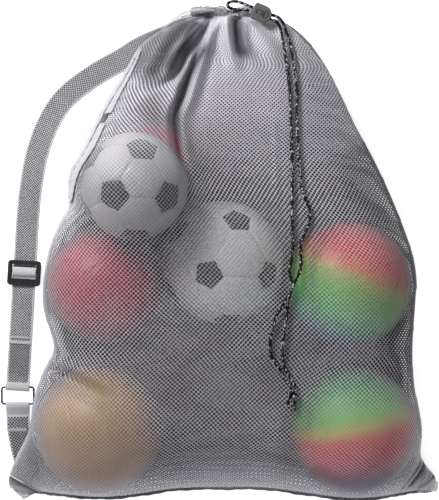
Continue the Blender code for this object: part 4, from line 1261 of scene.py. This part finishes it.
def flap(name, cloth, corners, hem, reach):
    """A small four-cornered piece of net lying on the panel, in shade along the hem above it."""
    a, b, c, d = (np.array(x, float) for x in corners)
    u = np.linspace(0, 1, 31)[None, :, None]
    v = np.linspace(0, 1, 25)[:, None, None]
    grid = (1 - v) * ((1 - u) * a + u * b) + v * ((1 - u) * d + u * c)
    for point in grid.reshape(-1, 3):
        height, off = height_on(cloth, point[0], point[1])
        if off < ON_NET:
            point[2] = max(point[2], height + 0.0016 * (1 - off / ON_NET))
    grid[..., 2:] += 0.0012 * np.sin(math.pi * u) * np.sin(math.pi * v) + 0.0006 * np.sin(9 * u + 3 * v)

    def shade(points):
        return 0.96 * np.exp(-(line_distance(points[:, 0], points[:, 1], hem)[0] / reach) ** 2)

    obj = knit(name, Cloth(grid), SMALL_CELL, NET_MAT, hole=0.4, relief=0.8)
    set_shade(obj, shade)
    belong(obj, "bag")
    return obj


def hem_line(name, cloth, points):
    """The rolled edge of a fold, as a thin line lying on the net."""
    path = smooth_line([(x, y, 0.0) for x, y in points], 0.0012)
    path[:, 2] = [height_on(cloth, x, y)[0] + 0.0024 for x, y in path[:, :2]]
    obj = rope(name, path, 0.0013, EDGE_MAT, 10, relief=0.06)
    belong(obj, "bag")
    return obj


def ears(cloth):
    """The two bottom corners, where the cloth is folded under itself."""
    left = [(-0.364, -0.385), (-0.3441, -0.392), (-0.3299, -0.3996), (-0.3115, -0.4107)]
    right = [(0.348, -0.356), (0.339, -0.37), (0.3297, -0.383), (0.3184, -0.3953),
             (0.3105, -0.408)]
    tip = [(0.368, -0.38), (0.357, -0.3935), (0.347, -0.4015), (0.3384, -0.4071)]
    left_corners = [(-0.3645, -0.3862, 0.015), (-0.3115, -0.4115, 0.03),
                    (-0.34, -0.429, 0.012), (-0.3668, -0.406, 0.008)]
    tip_corners = [(0.364, -0.39, 0.02), (0.379, -0.399, 0.018),
                   (0.3775, -0.415, 0.012), (0.34, -0.415, 0.02)]
    return [
        flap("ear_left_under", cloth, left_corners, left, 0.0135),
        hem_line("ear_left_hem", cloth, left),
        hem_line("ear_right_hem", cloth, right),
        hem_line("ear_right_fold", cloth, tip),
        flap("ear_right_tip", cloth, tip_corners, tip, 0.006),
    ]


FACING_ROWS = 90
FACING_LIFT = 0.0022      # over the net; the dark strip between the two lies lower


def facing_strip(cloth, name, y_range, inner, outer, lift, mat):
    """A strip on the net, between two lines given by their distances from its left edge."""
    edge_y = cloth.grid[:, 0, 1]
    rows = np.interp(np.linspace(*y_range, FACING_ROWS), edge_y, np.arange(len(edge_y)))
    t = np.linspace(0, 1, FACING_ROWS)
    q = np.interp(rows, np.arange(len(cloth.q)), cloth.q)
    sides = []
    for widths in (inner, outer):
        side = []
        for row, part in zip(rows, t):
            j = int(round(row))
            plan = np.maximum.accumulate(cloth.grid[j, :, 0] - cloth.grid[j, 0, 0])
            wide = np.interp(part, np.linspace(0, 1, len(widths)), widths)
            side.append(np.interp(wide, plan, cloth.p[j]))
        sides.append(np.array(side)[:, None])
    near, far = sides
    u = np.linspace(0, 1, 11)[None]
    crown = lift + 0.0008 * np.sin(math.pi * u) + 0.0004 * np.sin(t * 70)[:, None]
    verts = cloth.at(near + (far - near) * u, np.repeat(q[:, None], 11, axis=1), crown)
    obj = place(name, verts.reshape(-1, 3), grid_faces(FACING_ROWS, 11), mat)
    thicken(obj, 0.0005)
    belong(obj, "bag")
    return obj


def facing(cloth):
    """The plain facing along the upper left edge: strips on the net with a dark slit between them."""
    return [facing_strip(cloth, *strip) for strip in (
        ("facing_dark", (0.135, 0.262),
         (0.006, 0.009, 0.01), (0.012, 0.019, 0.022), 0.001, DARK_MAT),
        ("facing_outer", (0.09, 0.345),
         (0.001, 0.001, 0.004, 0.006, 0.005), (0.006, 0.0095, 0.011, 0.0125, 0.008),
         FACING_LIFT, TAPE_MAT),
        ("facing_inner", (0.085, 0.214),
         (0.004, 0.0085, 0.0108, 0.0135), (0.008, 0.021, 0.026, 0.024), FACING_LIFT, TAPE_MAT),
        ("facing_upper", (0.231, 0.345),
         (0.0135, 0.0135, 0.0085), (0.026, 0.021, 0.012), FACING_LIFT, TAPE_MAT),
    )]


# ---- the whole
def dress(node, mat):
    """Give a CAD node that stays in view its finish."""
    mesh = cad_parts[node].data
    mesh.materials.clear()
    mesh.materials.append(mat)


camera()
studio()
cord_pieces()
(front, back), nets = panels()
trims = facing(front) + ears(front) + [mouth_lobe()]
for net, node, trim in zip(nets, ("mesh_front_panel", "mesh_back_panel"), (trims, [])):
    belong(net, "bag", node)
hem()
tape("binding_left", SEAM_LEFT, -1, "side_seam_left", TAPE_MAT)
# the right and bottom bindings take the darker tape: painted shade
tape("binding_right", SEAM_RIGHT, 1, "side_seam_right", SHADED_BINDING_MAT)
tape("binding_bottom", SEAM_BOTTOM, 1, "bottom_seam", SHADED_BINDING_MAT)
balls()
shoulder_strap()
slider_end()
corner_tab()
ring_piece()
lock_relief()

for node, mat in (
    ("strap_slider", BLACK_MAT), ("cord_lock_body", GREY_MAT), ("cord_lock_thumb_slide", SLIDE_MAT),
    ("drawcord_in_hem", CORD_MAT), ("strap_anchor_patch", THREAD_MAT),
    ("corner_tab_stitching", THREAD_MAT), ("slider_end_stitching", THREAD_MAT),
):
    dress(node, mat)
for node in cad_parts:
    if node.startswith("valve_"):
        dress(node, RUBBER_MAT)
